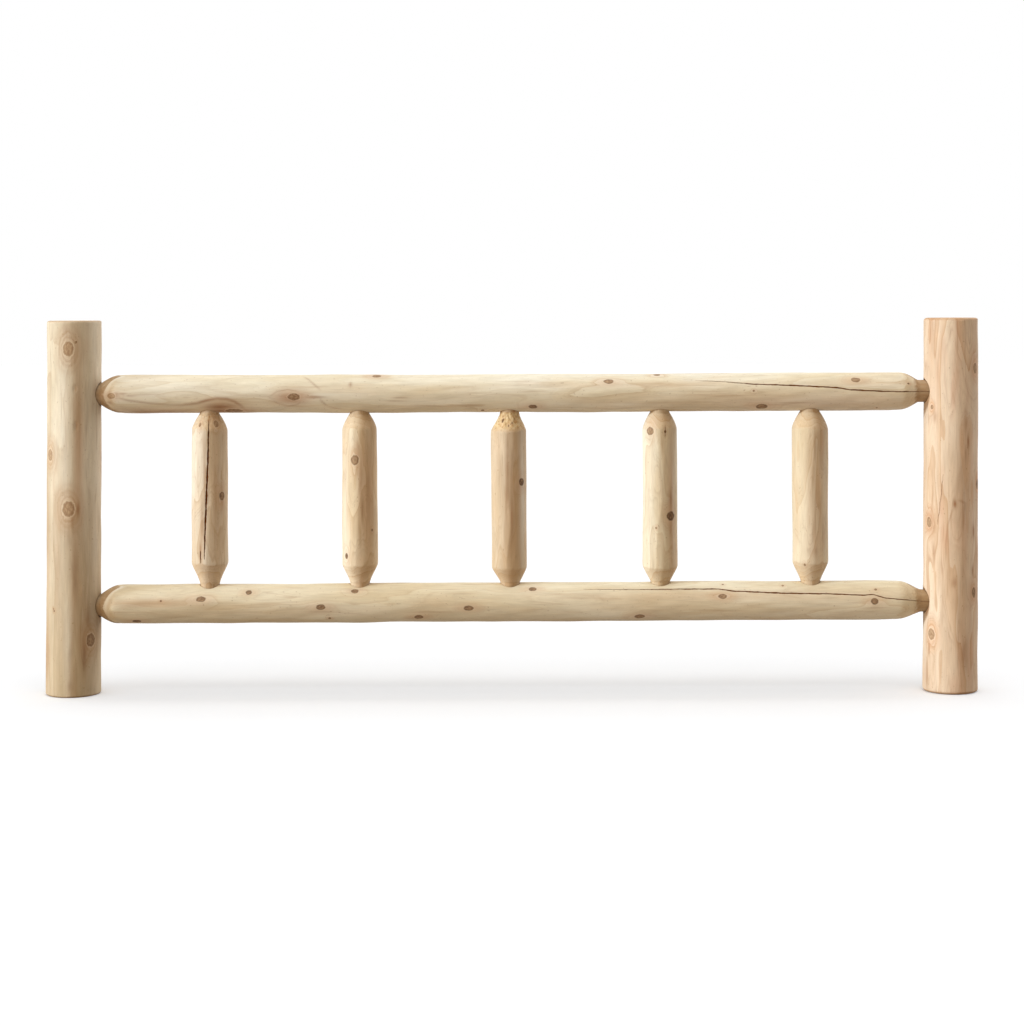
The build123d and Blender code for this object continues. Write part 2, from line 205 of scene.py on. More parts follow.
class Log:
    """One peeled log: where it lies, how thick it is, and what has grown and cracked in it.

    along is the place on its axis (Z of an upright log, X of a rail), and angle is counted from the
    outer face, positive towards +X on an upright log and towards +Z on a rail. drift and radius are
    where its middle lies and how thick it is, turned is the radius that its shoulders are cut to, and
    limit what an eased edge leaves. shoulder_brown_and_painted_light says what is brown on the
    shoulders, where painted shadow joins the tenons' brown, and where a painted highlight lies.
    """

    def __init__(self, name, upright, stations, drift, radius, ripples, seed, turned=None, tenon=None,
                 knots=(), checks=(), stains=(), flames=(), dents=(), painted_shade_and_tone_spots=(), painted_light_and_pale_spots=(), limit=None,
                 shoulder_brown_and_painted_light=None, frayed=None, softness=0.3, flats=9, flat_depth=0.0, seat_end=0.2):
        self.name = name
        self.upright = upright
        self.stations = stations
        self.drift = drift
        self.radius = radius
        self.ripples = Ripples(seed, ripples, flats=flats, flat_depth=flat_depth)
        self.turned = turned
        self.knots = knots
        self.checks = checks
        self.stains = stains
        self.flames = flames
        self.dents = dents
        self.painted_shade_and_tone_spots = painted_shade_and_tone_spots
        self.painted_light_and_pale_spots = painted_light_and_pale_spots
        self.shoulder_brown_and_painted_light = shoulder_brown_and_painted_light
        self.frayed = frayed
        self.tenon = tenon
        self.seat_end = seat_end
        self.limit = limit
        self.softness = softness * MM
        self.seed = seed

    # -- shape
    def peeled(self, along, angle):
        """Radius of the peeled surface, with the swellings round its knots."""
        size = self.radius(along) + self.ripples.at(along, angle)
        for knot in self.knots:
            reach = self.knot_reach(knot, along, angle)[2]
            swelling = knot["swelling"] * np.exp(-(reach / 2.2) ** 2)
            crease = 0.2 * MM * np.exp(-((reach - 1.0) / 0.18) ** 2)
            size += swelling - crease * min(1.0, knot["width"] / (8 * MM))
        for *spot, depth in self.dents:
            size -= depth * MM * np.exp(-self.oval(along, angle, *spot) ** 2)
        return size

    def oval(self, along, angle, place, degrees, length, width):
        """Squared distance from an oval spot's middle, in units of its half length and half width."""
        u = (along - place) / (length * MM)
        v = turn_between(angle, math.radians(degrees)) * self.radius(along) / (width * MM)
        return u * u + v * v

    def knot_reach(self, knot, along, angle):
        """Place beside a knot, along and across it, in units of its own half sizes."""
        across = turn_between(angle, math.radians(knot["angle"])) * self.radius(along)
        ahead = along - knot["along"]
        u = ahead / (knot["length"] / 2)
        v = (across - knot["skew"] * ahead) / (knot["width"] / 2)
        return u, v, np.sqrt(u * u + v * v)

    def skin(self, along, angle):
        """(radius, share that is turned, share that is cracked) of the finished surface."""
        size = self.peeled(along, angle)
        cut = np.zeros_like(along)
        if self.turned:
            lathe = self.turned(along)
            cut = smooth_step(-0.1 * MM, 0.5 * MM, size - lathe)
            size = soft_min(size, lathe, self.softness)
        if self.limit:
            edge, most = self.limit(along, angle)
            size = soft_min(size, most, 0.2 * MM)
            cut = smooth_step(0.05 * MM, 0.9 * MM, edge)
        if self.frayed:
            size = size - 0.9 * MM * self.torn(along) * splinters(along, angle, self.seed)
        cracked = np.zeros_like(along)
        for check in self.checks:
            away, half = check.reach(along, angle)
            inside = np.clip(1 - (away / np.maximum(half, 1e-5)) ** 4, 0, 1) * (half > 0.15 * MM)
            size = size - check.depth * inside
            # painted shade: the check's inside and a band along its lips are marked to be painted dark
            # brown
            rim = 0.35 * np.exp(-(np.maximum(away - half, 0) / (0.7 * MM)) ** 2) * (half > 0.1 * MM)
            cracked = np.maximum(cracked, np.maximum(smooth_step(0.0, 0.35, inside), rim))
        return size, cut, cracked

    def torn(self, along):
        """How frayed the surface is, from 0 to 1: frayed is (low, high, strength) along the log."""
        low, high, strength = self.frayed
        return strength * smooth_step(low, low + 0.35 * (high - low), along) * (along < high)

    def put(self, along, angle, size):
        """Points in the frame, as rows of X, Y and Z."""
        side = self.drift(along) + size * np.sin(angle)
        front = -size * np.cos(angle)
        return np.stack((side, front, along) if self.upright else (along, front, side), axis=1)

    def find(self, points):
        """(along, angle, distance from the axis) of points in the frame."""
        along = points[:, 2] if self.upright else points[:, 0]
        side = (points[:, 0] if self.upright else points[:, 2]) - self.drift(along)
        front = -points[:, 1]
        return along, np.arctan2(side, front), np.hypot(side, front)

    # -- making
    def make(self, steps, cutters=()):
        """The log's object: a tube spun round its axis, moved to its skin, then cut and marked."""
        mesh = tube(self.name, self.stations, steps)
        points = read_points(mesh)
        along = points[:, 2].astype(float)
        angle = np.arctan2(points[:, 1], points[:, 0]).astype(float)
        share = np.hypot(points[:, 0], points[:, 1])
        if self.checks:
            # mesh lines are drawn together where the check runs
            centre = self.checks[0].angle_at(along)
            angle = centre + angle - 0.86 * np.sin(angle)
        size = self.skin(along, angle)[0]
        write_points(mesh, self.put(along, angle, size * share))
        piece = bpy.data.objects.new(self.name, mesh)
        bpy.context.scene.collection.objects.link(piece)
        if cutters:
            cut_out(piece, cutters)
        close_and_turn_out(piece.data)
        self.mark(piece.data)
        return piece

    def spots(self, spots, along, angle):
        """The strongest of some soft oval spots: (place, angle, half length, half width, strength)."""
        total = np.zeros(len(along))
        for *spot, strength in spots:
            total = np.maximum(total, strength * np.exp(-self.oval(along, angle, *spot)))
        return total

    def mark(self, mesh):
        """Writes what the finish follows: knots, turned and cut faces, checks, stains, and painted shade
        and painted light.
        """
        along, angle, distance = self.find(read_points(mesh).astype(float))
        size, cut, cracked = self.skin(along, angle)
        inside = smooth_step(0.6 * MM, 1.6 * MM, size - distance) * (cracked < 0.05)
        nearest = np.full(len(along), 1e3)
        knot_place = np.zeros((len(along), 3))
        tone = np.zeros(len(along))
        rim = np.zeros(len(along))
        for knot in self.knots:
            u, v, reach = self.knot_reach(knot, along, angle)
            closer = reach < nearest
            nearest[closer] = reach[closer]
            near = 1 - smooth_step(3.0, 5.0, reach[closer])
            knot_place[closer] = np.stack((u[closer], v[closer], near), axis=1)
            tone[closer] = knot["tone"]
            rim[closer] = knot["rim"]
        knot_place[:, 2] *= 1 - inside
        stain = self.spots(self.stains, along, angle)
        # painted shade, and some darker tone of the wood
        shade = self.spots(self.painted_shade_and_tone_spots, along, angle)
        # painted light, and some paler tone of the wood
        pale = self.spots(self.painted_light_and_pale_spots, along, angle)
        lift = np.zeros(len(along))
        for *spot, height in self.flames:
            lift += height * MM * np.exp(-np.sqrt(self.oval(along, angle, *spot) + 0.02))
        seat = np.zeros(len(along))
        if self.tenon:
            grown = (size - self.tenon) / (self.radius(along) - self.tenon)
            seat = 1 - smooth_step(0.01, self.seat_end, grown)
        # on a rail's left shoulder, painted shadow of the left post joins the tenons' brown, and a painted
        # highlight joins the painted light
        if self.shoulder_brown_and_painted_light:
            brown, painted_highlight = self.shoulder_brown_and_painted_light(along, angle)
            seat = np.maximum(seat, brown)
            pale = np.maximum(pale, painted_highlight)
        frayed = self.torn(along) if self.frayed else np.zeros(len(along))
        write_attribute(mesh, "knot_place", "FLOAT_VECTOR", knot_place)
        levels = dict(
            knot_tone=tone, knot_rim=rim, turned=cut * (1 - inside), cut_face=inside, seat=seat,
            cracked=cracked, stained=stain * (1 - inside), painted_shade_and_tone=shade, grain_lift=lift,
            painted_light_and_pale=pale, frayed=frayed,
        )
        for name, values in levels.items():
            write_attribute(mesh, name, "FLOAT", values)


def splinters(along, angle, seed):
    """Torn fibres on a log's end, from 0 to 1: seeded narrow waves that lie mostly along it."""
    draw = random.Random(seed)
    total = np.zeros_like(along)
    for _ in range(12):
        lobes = draw.randint(5, 26)
        total += np.sin(lobes * angle + draw.uniform(-650, 650) * along + draw.uniform(0, 6.3))
    return np.clip(0.5 + total / 6, 0, 1)


def read_points(mesh):
    points = np.empty(len(mesh.vertices) * 3, np.float32)
    mesh.vertices.foreach_get("co", points)
    return points.reshape(-1, 3)


def write_points(mesh, points):
    mesh.vertices.foreach_set("co", points.astype(np.float32).ravel())
    mesh.update()


def write_attribute(mesh, name, kind, values):
    attribute = mesh.attributes.new(name, kind, "POINT")
    key = "vector" if kind == "FLOAT_VECTOR" else "value"
    attribute.data.foreach_set(key, values.astype(np.float32).ravel())


def tube(name, stations, steps):
    """A closed tube of radius 1 round Z. stations are (height, spacing of the rings up to the next)."""
    heights = [height for height, _ in stations]
    runs = [((0, heights[0]), (1, heights[0]), CAP_RINGS)]
    for (low, spacing), high in zip(stations, heights[1:]):
        runs.append(((1, low), (1, high), max(0, round((high - low) / spacing) - 1)))
    runs.append(((1, heights[-1]), (0, heights[-1]), CAP_RINGS))
    bm = bmesh.new()
    for start, end, cuts in runs:
        ends = [bm.verts.new((out, 0, height)) for out, height in (start, end)]
        edge = bm.edges.new(ends)
        if cuts:
            bmesh.ops.subdivide_edges(bm, edges=[edge], cuts=cuts)
    bmesh.ops.remove_doubles(bm, verts=bm.verts[:], dist=1e-7)
    bmesh.ops.spin(
        bm, geom=bm.verts[:] + bm.edges[:], cent=(0, 0, 0), axis=(0, 0, 1), dvec=(0, 0, 0),
        angle=2 * math.pi, steps=steps, use_merge=True, use_duplicate=False,
    )
    bmesh.ops.remove_doubles(bm, verts=bm.verts[:], dist=1e-7)
    bmesh.ops.recalc_face_normals(bm, faces=bm.faces[:])
    mesh = bpy.data.meshes.new(name)
    bm.to_mesh(mesh)
    bm.free()
    return mesh


def close_and_turn_out(mesh):
    """Merges doubles, turns the faces outwards, and keeps edges crisp where faces meet steeply."""
    bm = bmesh.new()
    bm.from_mesh(mesh)
    bmesh.ops.remove_doubles(bm, verts=bm.verts[:], dist=1e-6)
    bmesh.ops.recalc_face_normals(bm, faces=bm.faces[:])
    for face in bm.faces:
        face.smooth = True
    bm.to_mesh(mesh)
    bm.free()
    mesh.set_sharp_from_angle(angle=math.radians(48))


# ---------------------------------------------------------------- holes
def drilled(name, holes, segments=72):
    """One cutter for several holes: each is (mouth, direction into the wood, ((depth, radius), ...))."""
    bm = bmesh.new()
    for mouth, direction, profile in holes:
        turn = Vector(direction).to_track_quat("Z", "Y").to_matrix().to_4x4()
        place = Matrix.Translation(mouth) @ turn
        chain = [bm.verts.new(place @ Vector((radius, 0, depth))) for depth, radius in profile]
        edges = [bm.edges.new(pair) for pair in zip(chain, chain[1:])]
        axis = turn.to_3x3() @ Vector((0, 0, 1))
        bmesh.ops.spin(
            bm, geom=chain + edges, cent=mouth, axis=axis, dvec=(0, 0, 0),
            angle=2 * math.pi, steps=segments, use_merge=True, use_duplicate=False,
        )
    bmesh.ops.remove_doubles(bm, verts=bm.verts[:], dist=1e-6)
    bmesh.ops.recalc_face_normals(bm, faces=bm.faces[:])
    mesh = bpy.data.meshes.new(name)
    bm.to_mesh(mesh)
    bm.free()
    cutter = bpy.data.objects.new(name, mesh)
    bpy.context.scene.collection.objects.link(cutter)
    return cutter


def bore(depth, radius, before=0.03):
    """Profile of a plain blind hole, which also cuts this far in front of its mouth."""
    return ((-before, 0), (-before, radius), (depth, radius), (depth, 0))


def cut_out(piece, cutters):
    """Cuts the cutters' shapes out of the piece, and removes them."""
    for cutter in cutters:
        modifier = piece.modifiers.new(cutter.name, "BOOLEAN")
        modifier.operation = "DIFFERENCE"
        modifier.solver = "EXACT"
        modifier.object = cutter
    shown = piece.evaluated_get(bpy.context.evaluated_depsgraph_get())
    mesh = bpy.data.meshes.new_from_object(shown)
    piece.modifiers.clear()
    piece.data = mesh
    for cutter in cutters:
        bpy.data.objects.remove(cutter)


# ---------------------------------------------------------------- knots
def knot(along, angle, length, width, tone=0.5, swelling=0.3, skew=0.0, rim=0.6):
    """A knot: its place, its angle from the outer face in degrees, and its sizes in millimetres.

    tone runs from pale (0) to dark (1), and rim is how dark the ring round its heart is.
    """
    return dict(along=along, angle=angle, length=length * MM, width=width * MM, tone=tone,
                swelling=swelling * MM, skew=skew, rim=rim)


def knots_behind(seed, count, low, high, largest):
    """Seeded knots on the side of a log that faces the mattress."""
    draw = random.Random(seed)
    step = (high - low) / count
    made = []
    for i in range(count):
        width = largest * draw.uniform(0.3, 1.0)
        made.append(knot(
            low + (i + draw.uniform(0.15, 0.85)) * step, 180 + draw.uniform(-75, 75),
            width * draw.uniform(1.1, 1.6), width, tone=draw.uniform(0.2, 0.9), swelling=0.25,
        ))
    return made


def streak(path, width, strength):
    """Stains in a row along a path of (place, angle), which fade at its ends. width is in mm."""
    spots = []
    for part, ((low, low_angle), (high, high_angle)) in enumerate(zip(path, path[1:])):
        steps = max(1, round(abs(high - low) / (1.5 * MM) + abs(high_angle - low_angle) / 3))
        for i in range(steps):
            share = i / steps
            fade = math.sin(math.pi * (part + share) / (len(path) - 1)) ** 0.6
            spots.append((low + share * (high - low), low_angle + share * (high_angle - low_angle),
                          max(width, 2.2), width, strength * fade))
    return tuple(spots)


# ---------------------------------------------------------------- posts
def post_radius(along):
    return POST_RADIUS + POST_BUTT_GROWTH * (1 - along / POST_HEIGHT) ** 3


def make_post(name, side, seed, edge, cracks=(), **growth):
    """One post with its rail mortises, side rail mortise and screw holes. edge is its eased edge."""
    def drift(along):
        return side * post_centre + POST_LEAN * (along / POST_HEIGHT - 0.5)

    def most(along, angle):
        # how much the eased edge takes off, and the radius that is left
        short = np.clip(edge - np.minimum(along, POST_HEIGHT - along), 0, edge)
        eased = edge - np.sqrt(edge**2 - short**2)
        return eased, post_radius(along) - POST_LIMIT - POST_OVAL * np.cos(angle) ** 2 - eased

    log = Log(
        name, True,
        ((0, POST_END_RINGS), (POST_END_BAND, POST_BODY_RINGS),
         (POST_HEIGHT - POST_END_BAND, POST_END_RINGS), (POST_HEIGHT, None)),
        drift, lambda along: post_radius(along) - POST_INSET, POST_RIPPLES, seed,
        limit=most, flats=11, flat_depth=POST_FLATS,
        checks=[crack(*sizes, POST_RADIUS, wobble=0.4) for sizes in cracks], **growth,
    )
    into_post = (side, 0, 0)
    depth = RAIL_TENON_DEPTH + GLUE_SPACE
    mortises = [
        ((side * post_face, 0, rail_height(rail, side * post_face)), into_post,
         bore(depth, RAIL_TENON_RADIUS + MOUTH_GAP))
        for rail in RAILS
    ]
    side_mouth = (drift(SIDE_RAIL_MORTISE["height"]), POST_RADIUS, SIDE_RAIL_MORTISE["height"])
    side_bore = bore(SIDE_RAIL_MORTISE["depth"], SIDE_RAIL_MORTISE["radius"])
    screws = []
    for rail in RAILS:
        height = fastener_height(rail, side * post_centre)
        mouth = (side * post_centre, post_radius(height) - POST_OVAL - SCREW_SET, height)
        countersink = SCREW_HEAD_RADIUS - SCREW_SHANK_RADIUS
        screws.append((mouth, (0, -1, 0), (
            (-SCREW_START, 0), (-SCREW_START, SCREW_HEAD_RADIUS), (0, SCREW_HEAD_RADIUS),
            (countersink * 1.15, SCREW_SHANK_RADIUS), (SCREW_LENGTH, SCREW_SHANK_RADIUS),
            (SCREW_LENGTH, 0),
        )))
    cutters = [
        drilled(name + "_mortises", mortises),
        drilled(name + "_side_rail_mortise", [(side_mouth, (0, -1, 0), side_bore)]),
        drilled(name + "_screw_holes", screws, segments=32),
    ]
    return log, log.make(POST_STEPS, cutters)


# ---------------------------------------------------------------- rails
RAILS = {
    "rail_top": dict(
        radius=0.0354, left=0.5540, right=0.5545, sag=1.6 * MM, rise=0.3 * MM, right_neck=11.5 * MM,
        left_shoulder=0.037, right_shoulder=0.044, right_curve=(1.15, 2.3), side=-1,
        # places from the right post's face, and heights above the axis
        check=((-20, 0), (45, 0), (82, 1), (143, 4.5), (166, 8.4), (234, 12.4), (319, 15.7),
               (381, 20.9), (429, 22.9)),
    ),
    "rail_bottom": dict(
        radius=0.0360, left=0.1630, right=0.1663, sag=0.0, rise=1.7 * MM, right_neck=5 * MM,
        left_shoulder=0.036, right_shoulder=0.058, right_curve=(1.4, 2.8), side=1,
        check=((-20, 1), (36, 4.5), (75, 8.1), (100, 15), (117, 13.5), (174, 16.2), (266, 17.7),
               (356, 22), (381, 25.3), (526, 25.2), (635, 25.7)),
    ),
}
CHECK_WIDTH = 2.1 * MM
CHECK_DEPTH = 2.3 * MM
# edges of the brown on a rail's shoulders (on the left one, painted shadow of the left post): degrees from
# its front, and millimetres from its neck
LEFT_SHADOW_EDGE = ((0, 8), (11, 9.5), (28, 13), (43, 18), (53, 24), (61, 31), (71, 38), (90, 30), (120, 8))
RIGHT_BROWN = ((0, 0), (48, 0), (60, 12), (72, 27), (95, 27), (120, 5))


def rail_height(rail, x):
    """Height of a rail's axis at x, without its bow."""
    sizes = RAILS[rail]
    return (sizes["left"] + sizes["right"]) / 2 + (sizes["right"] - sizes["left"]) / 2 * x / post_centre


def fastener_height(rail, x, inward=0.0):
    """Height of the fasteners at x: on the tenons' axis, or inward from it in the bowed log."""
    left, right, sag = RAIL_AXES[rail]
    bow = -sag * max(0.0, 1 - (x / post_face) ** 2)
    return (left + right) / 2 + (right - left) / 2 * x / post_centre + bow + RAILS[rail]["side"] * inward


def rail_drift(rail, x):
    """Height of a rail's own centre line at x: its log is bowed, and lies above its tenons' axis."""
    bowed = np.clip(1 - (x / post_face) ** 2, 0, 1)
    body = smooth_step(0, 0.04, post_face - np.abs(x))
    return rail_height(rail, x) - RAILS[rail]["sag"] * bowed + RAILS[rail]["rise"] * body


def face_of_post(rail, side):
    """Where the inner face of a post stands at a rail's height."""
    height = rail_height(rail, 0)
    lean = POST_LEAN * (height / POST_HEIGHT - 0.5)
    return lean + side * (post_centre - float(post_radius(height)))


def make_rail(name, seed, **growth):
    """One rail with its tenons, five spindle mortises, fastener holes and drying check."""
    sizes = RAILS[name]
    radius = sizes["radius"]
    low_neck = face_of_post(name, -1) + RAIL_LEFT_NECK
    high_neck = face_of_post(name, 1) - sizes["right_neck"]
    low_body = low_neck + sizes["left_shoulder"]
    high_body = high_neck - sizes["right_shoulder"]
    tip = post_face + RAIL_TENON_DEPTH

    def lathe(along):
        # each shoulder grows a little past the body, so that the two blend
        left = (along - low_neck) / sizes["left_shoulder"]
        right = (high_neck - along) / sizes["right_shoulder"]
        grown_left = (radius * 1.015 - RAIL_TENON_RADIUS) * blunt(left)
        grown_left += 0.2 * radius * np.maximum(left - 1, 0)
        grown_right = (radius * 1.02 - RAIL_TENON_RADIUS) * long_shoulder(right, *sizes["right_curve"])
        grown_right += 0.2 * radius * np.maximum(right - 1, 0)
        return RAIL_TENON_RADIUS + np.minimum(grown_left, grown_right)

    def shoulder_brown_and_painted_light(along, angle):
        # the left shoulder's lit front ends at an arc, just inside which lies a painted highlight, and the
        # rest of it, towards the neck, is as brown as its tenon: painted shadow of the left post
        away = np.degrees(np.abs(turn_between(angle, math.radians(-2))))
        inward = along - low_neck - np.interp(away, *zip(*LEFT_SHADOW_EDGE)) * MM
        brown = 0.85 * smooth_step(-1.2 * MM, 1.2 * MM, -inward)
        painted_highlight = 0.75 * np.exp(-((inward - 4 * MM) / (5 * MM)) ** 2) * (away < 75)
        painted_highlight *= smooth_step(-0.9, 0.3, angle)
        # a thin brown line runs over the right shoulder's top
        right_edge = np.interp(np.degrees(angle), *zip(*RIGHT_BROWN)) * MM
        right_brown = 0.7 * smooth_step(-2 * MM, 2 * MM, right_edge - (high_neck - along) - 2 * MM)
        return np.maximum(brown, right_brown), painted_highlight

    right_face = face_of_post(name, 1)
    path = sorted((right_face - place * MM, height * MM) for place, height in sizes["check"])
    log = Log(
        name, False,
        ((-tip, 6 * MM), (low_neck - 4 * MM, 1.3 * MM), (low_body + 6 * MM, 2.9 * MM),
         (high_body - 6 * MM, 1.3 * MM), (high_neck + 2 * MM, 2 * MM), (high_neck + 16 * MM, 6 * MM),
         (tip, None)),
        lambda along: rail_drift(name, along), lambda along: np.full_like(along, radius),
        RAIL_RIPPLES, seed, turned=lathe, tenon=RAIL_TENON_RADIUS, shoulder_brown_and_painted_light=shoulder_brown_and_painted_light, softness=1.1,
        seat_end=0.62, flat_depth=RAIL_FLATS,
        checks=[Check(path, CHECK_WIDTH, CHECK_DEPTH, radius, 0.16 * MM, thin_end=0.45)], **growth,
    )
    side = sizes["side"]
    mortises = []
    brads = []
    for x in spindle_places:
        surface = float(rail_drift(name, np.float64(x))) + side * radius
        spindle_bore = bore(SPINDLE_TENON_DEPTH + GLUE_SPACE, SPINDLE_TENON_RADIUS + SPINDLE_MOUTH_GAP)
        mortises.append(((x, 0, surface), (0, 0, -side), spindle_bore))
        inward = radius - SPINDLE_TENON_DEPTH / 2
        mouth = (x, math.sqrt(radius**2 - inward**2), fastener_height(name, x, inward))
        brads.append((mouth, (0, -1, 0), bore(BRAD_LENGTH, BRAD_RADIUS, PIN_START)))
    for end in (-1, 1):
        x = end * post_centre
        mouth = (x, SCREW_HOLE_START, fastener_height(name, x))
        brads.append((mouth, (0, -1, 0), bore(2 * SCREW_HOLE_START, SCREW_SHANK_RADIUS, PIN_START)))
    cutters = [
        drilled(name + "_mortises", mortises, segments=64),
        drilled(name + "_pin_holes", brads, segments=16),
    ]
    return log, log.make(RAIL_STEPS, cutters)


# ---------------------------------------------------------------- spindles
# diameter, lower end less upper end, body's offset, upper and lower shoulders, in millimetres
SPINDLES = (
    dict(size=66.8, taper=1.5, offset=0.0, top=38, foot=46, top_curve=blunt, foot_full=0.0),
    dict(size=65.2, taper=2.4, offset=0.0, top=38, foot=41, top_curve=blunt, foot_full=0.0),
    dict(size=65.2, taper=-0.7, offset=-1.8, top=39, foot=34, top_curve=cone, foot_full=0.4),
    dict(size=64.0, taper=0.6, offset=0.0, top=38, foot=34, top_curve=blunt, foot_full=0.4),
    dict(size=66.8, taper=-0.4, offset=0.0, top=39, foot=43, top_curve=blunt, foot_full=0.3),
)


def make_spindle(index, cracks=(), fray=0.0, **growth):
    """One spindle, from tenon end to tenon end."""
    sizes = SPINDLES[index]
    x = spindle_places[index]
    low_face = float(rail_drift("rail_bottom", np.float64(x))) + RAILS["rail_bottom"]["radius"]
    high_face = float(rail_drift("rail_top", np.float64(x))) - RAILS["rail_top"]["radius"]
    low_neck = low_face + SPINDLE_NECK
    high_neck = high_face - SPINDLE_NECK
    low_body = low_neck + sizes["foot"] * MM
    high_body = high_neck - sizes["top"] * MM

    def radius(along):
        share = (along - low_body) / (high_body - low_body)
        return (sizes["size"] / 2 + 0.15 + sizes["taper"] / 2 * (0.5 - share)) * MM

    def drift(along):
        # the body stands beside its tenons' axis by its offset
        rise = smooth_step(low_neck, low_body, along) * smooth_step(-high_neck, -high_body, -along)
        return x + sizes["offset"] * MM * rise

    def lathe(along):
        # each shoulder grows a little past the body, so that the two blend
        body = sizes["size"] / 2 * MM
        foot = (along - low_neck) / (low_body - low_neck)
        top = (high_neck - along) / (high_neck - high_body)
        over = 1.03 if sizes["top_curve"] is blunt else 1.07
        full = sizes["foot_full"]
        foot_curve = (1 - full) * cone(foot) + full * blunt(foot)
        grown_foot = (body * (1.07 - 0.04 * full) - SPINDLE_TENON_RADIUS) * foot_curve
        grown_foot += 0.6 * body * np.maximum(foot - 1, 0)
        grown_top = (body * over - SPINDLE_TENON_RADIUS) * sizes["top_curve"](top)
        grown_top += 0.3 * body * np.maximum(top - 1, 0)
        return SPINDLE_TENON_RADIUS + np.minimum(grown_foot, grown_top)

    name = f"spindle_{index + 1}"
    log = Log(
        name, True,
        ((low_face - SPINDLE_TENON_DEPTH, 5 * MM), (low_neck - 7 * MM, 1.2 * MM),
         (low_body + 8 * MM, 2.0 * MM), (high_body - 8 * MM, 1.2 * MM), (high_neck + 7 * MM, 5 * MM),
         (high_face + SPINDLE_TENON_DEPTH, None)),
        drift, radius, SPINDLE_RIPPLES, 11 + index, turned=lathe, tenon=SPINDLE_TENON_RADIUS, flats=7,
        flat_depth=SPINDLE_FLATS, seat_end=0.13,
        frayed=(high_body + 4 * MM, high_face + 1 * MM, fray) if fray else None,
        checks=[crack(*marks, sizes["size"] / 2 * MM, wobble=0.15) for marks in cracks], **growth,
    )
    pins = []
    for rail in RAILS:
        height = fastener_height(rail, x, RAILS[rail]["radius"] - SPINDLE_TENON_DEPTH / 2)
        hole = bore(BRAD_LENGTH - 6 * MM, BRAD_RADIUS, PIN_START)
        pins.append(((x, BRAD_HOLE_START, height), (0, -1, 0), hole))
    return log, log.make(SPINDLE_STEPS, [drilled(name + "_pin_holes", pins, segments=16)])


# ---------------------------------------------------------------- what has grown where, and where shade and light are painted
# stains, and spots of painted shade and of painted light (some of these are darker or paler tone of the
# wood): place, angle, half length and half width in mm, strength
# flames, where the rings are lifted: place, angle, half length and half width in mm, height in mm
# dents: place, angle, half length, half width and depth in mm
# cracks: path of (place, mm sideways from the axis), width and depth in mm
POST_LEFT = dict(
    knots=[
        knot(0.6387, -1, 24, 19, tone=0.15, swelling=0.9, rim=0.5),
        knot(0.6514, 16, 4, 3, tone=0.5, swelling=0.1, rim=0.3),
        knot(0.4438, -49, 20, 15, tone=0.25, swelling=0.7, rim=0.4),
        knot(0.3461, 0, 25, 21, tone=0.2, swelling=1.0, rim=0.6),
        knot(0.1033, 50, 22, 17, tone=0.45, swelling=0.8, rim=0.9),
        knot(0.1585, -33, 4, 3, tone=0.7, swelling=0.1),
        knot(0.1625, -35, 3, 2.5, tone=0.7, swelling=0.1),
    ] + knots_behind(31, 5, 0.05, 0.65, 20),
    stains=(
        (0.672, -6, 14, 7, 0.3), (0.075, 34, 34, 4, 0.5), (0.022, 4, 10, 6, 0.4), (0.24, 12, 45, 6, 0.35),
        (0.150, 44, 26, 5, 0.4), (0.345, 20, 13, 3, 0.8), (0.566, 15, 7, 1.4, 0.6),
        (0.4976, 17, 9, 1.4, 0.6), (0.325, 8, 26, 3, 0.4), (0.29, 2, 20, 5, 0.3),
    ),
    flames=((0.10, 38, 70, 12, 10), (0.25, 5, 90, 14, 8), (0.52, 20, 60, 12, 5)),
    dents=(
        (0.566, 13, 7, 3.5, 1.7), (0.4976, 15, 9, 3.5, 1.7), (0.60, 40, 16, 6, 0.8),
        (0.20, 20, 14, 6, 0.8), (0.55, 42, 18, 6, 0.8), (0.47, -36, 150, 22, 1.3),
    ),
    painted_shade_and_tone_spots=(
        (0.47, 21, 150, 9, 0.9), (0.22, 16, 90, 8, 0.55), (0.10, 36, 60, 13, 0.55),
        (0.30, -62, 240, 11, 0.55), (0.08, -62, 90, 12, 0.7), (0.25, -24, 50, 8, 0.3),
    ),
    painted_light_and_pale_spots=((0.47, -6, 150, 10, 0.2), (0.09, 1, 80, 7, 0.25), (0.27, 62, 60, 7, 0.2)),
)
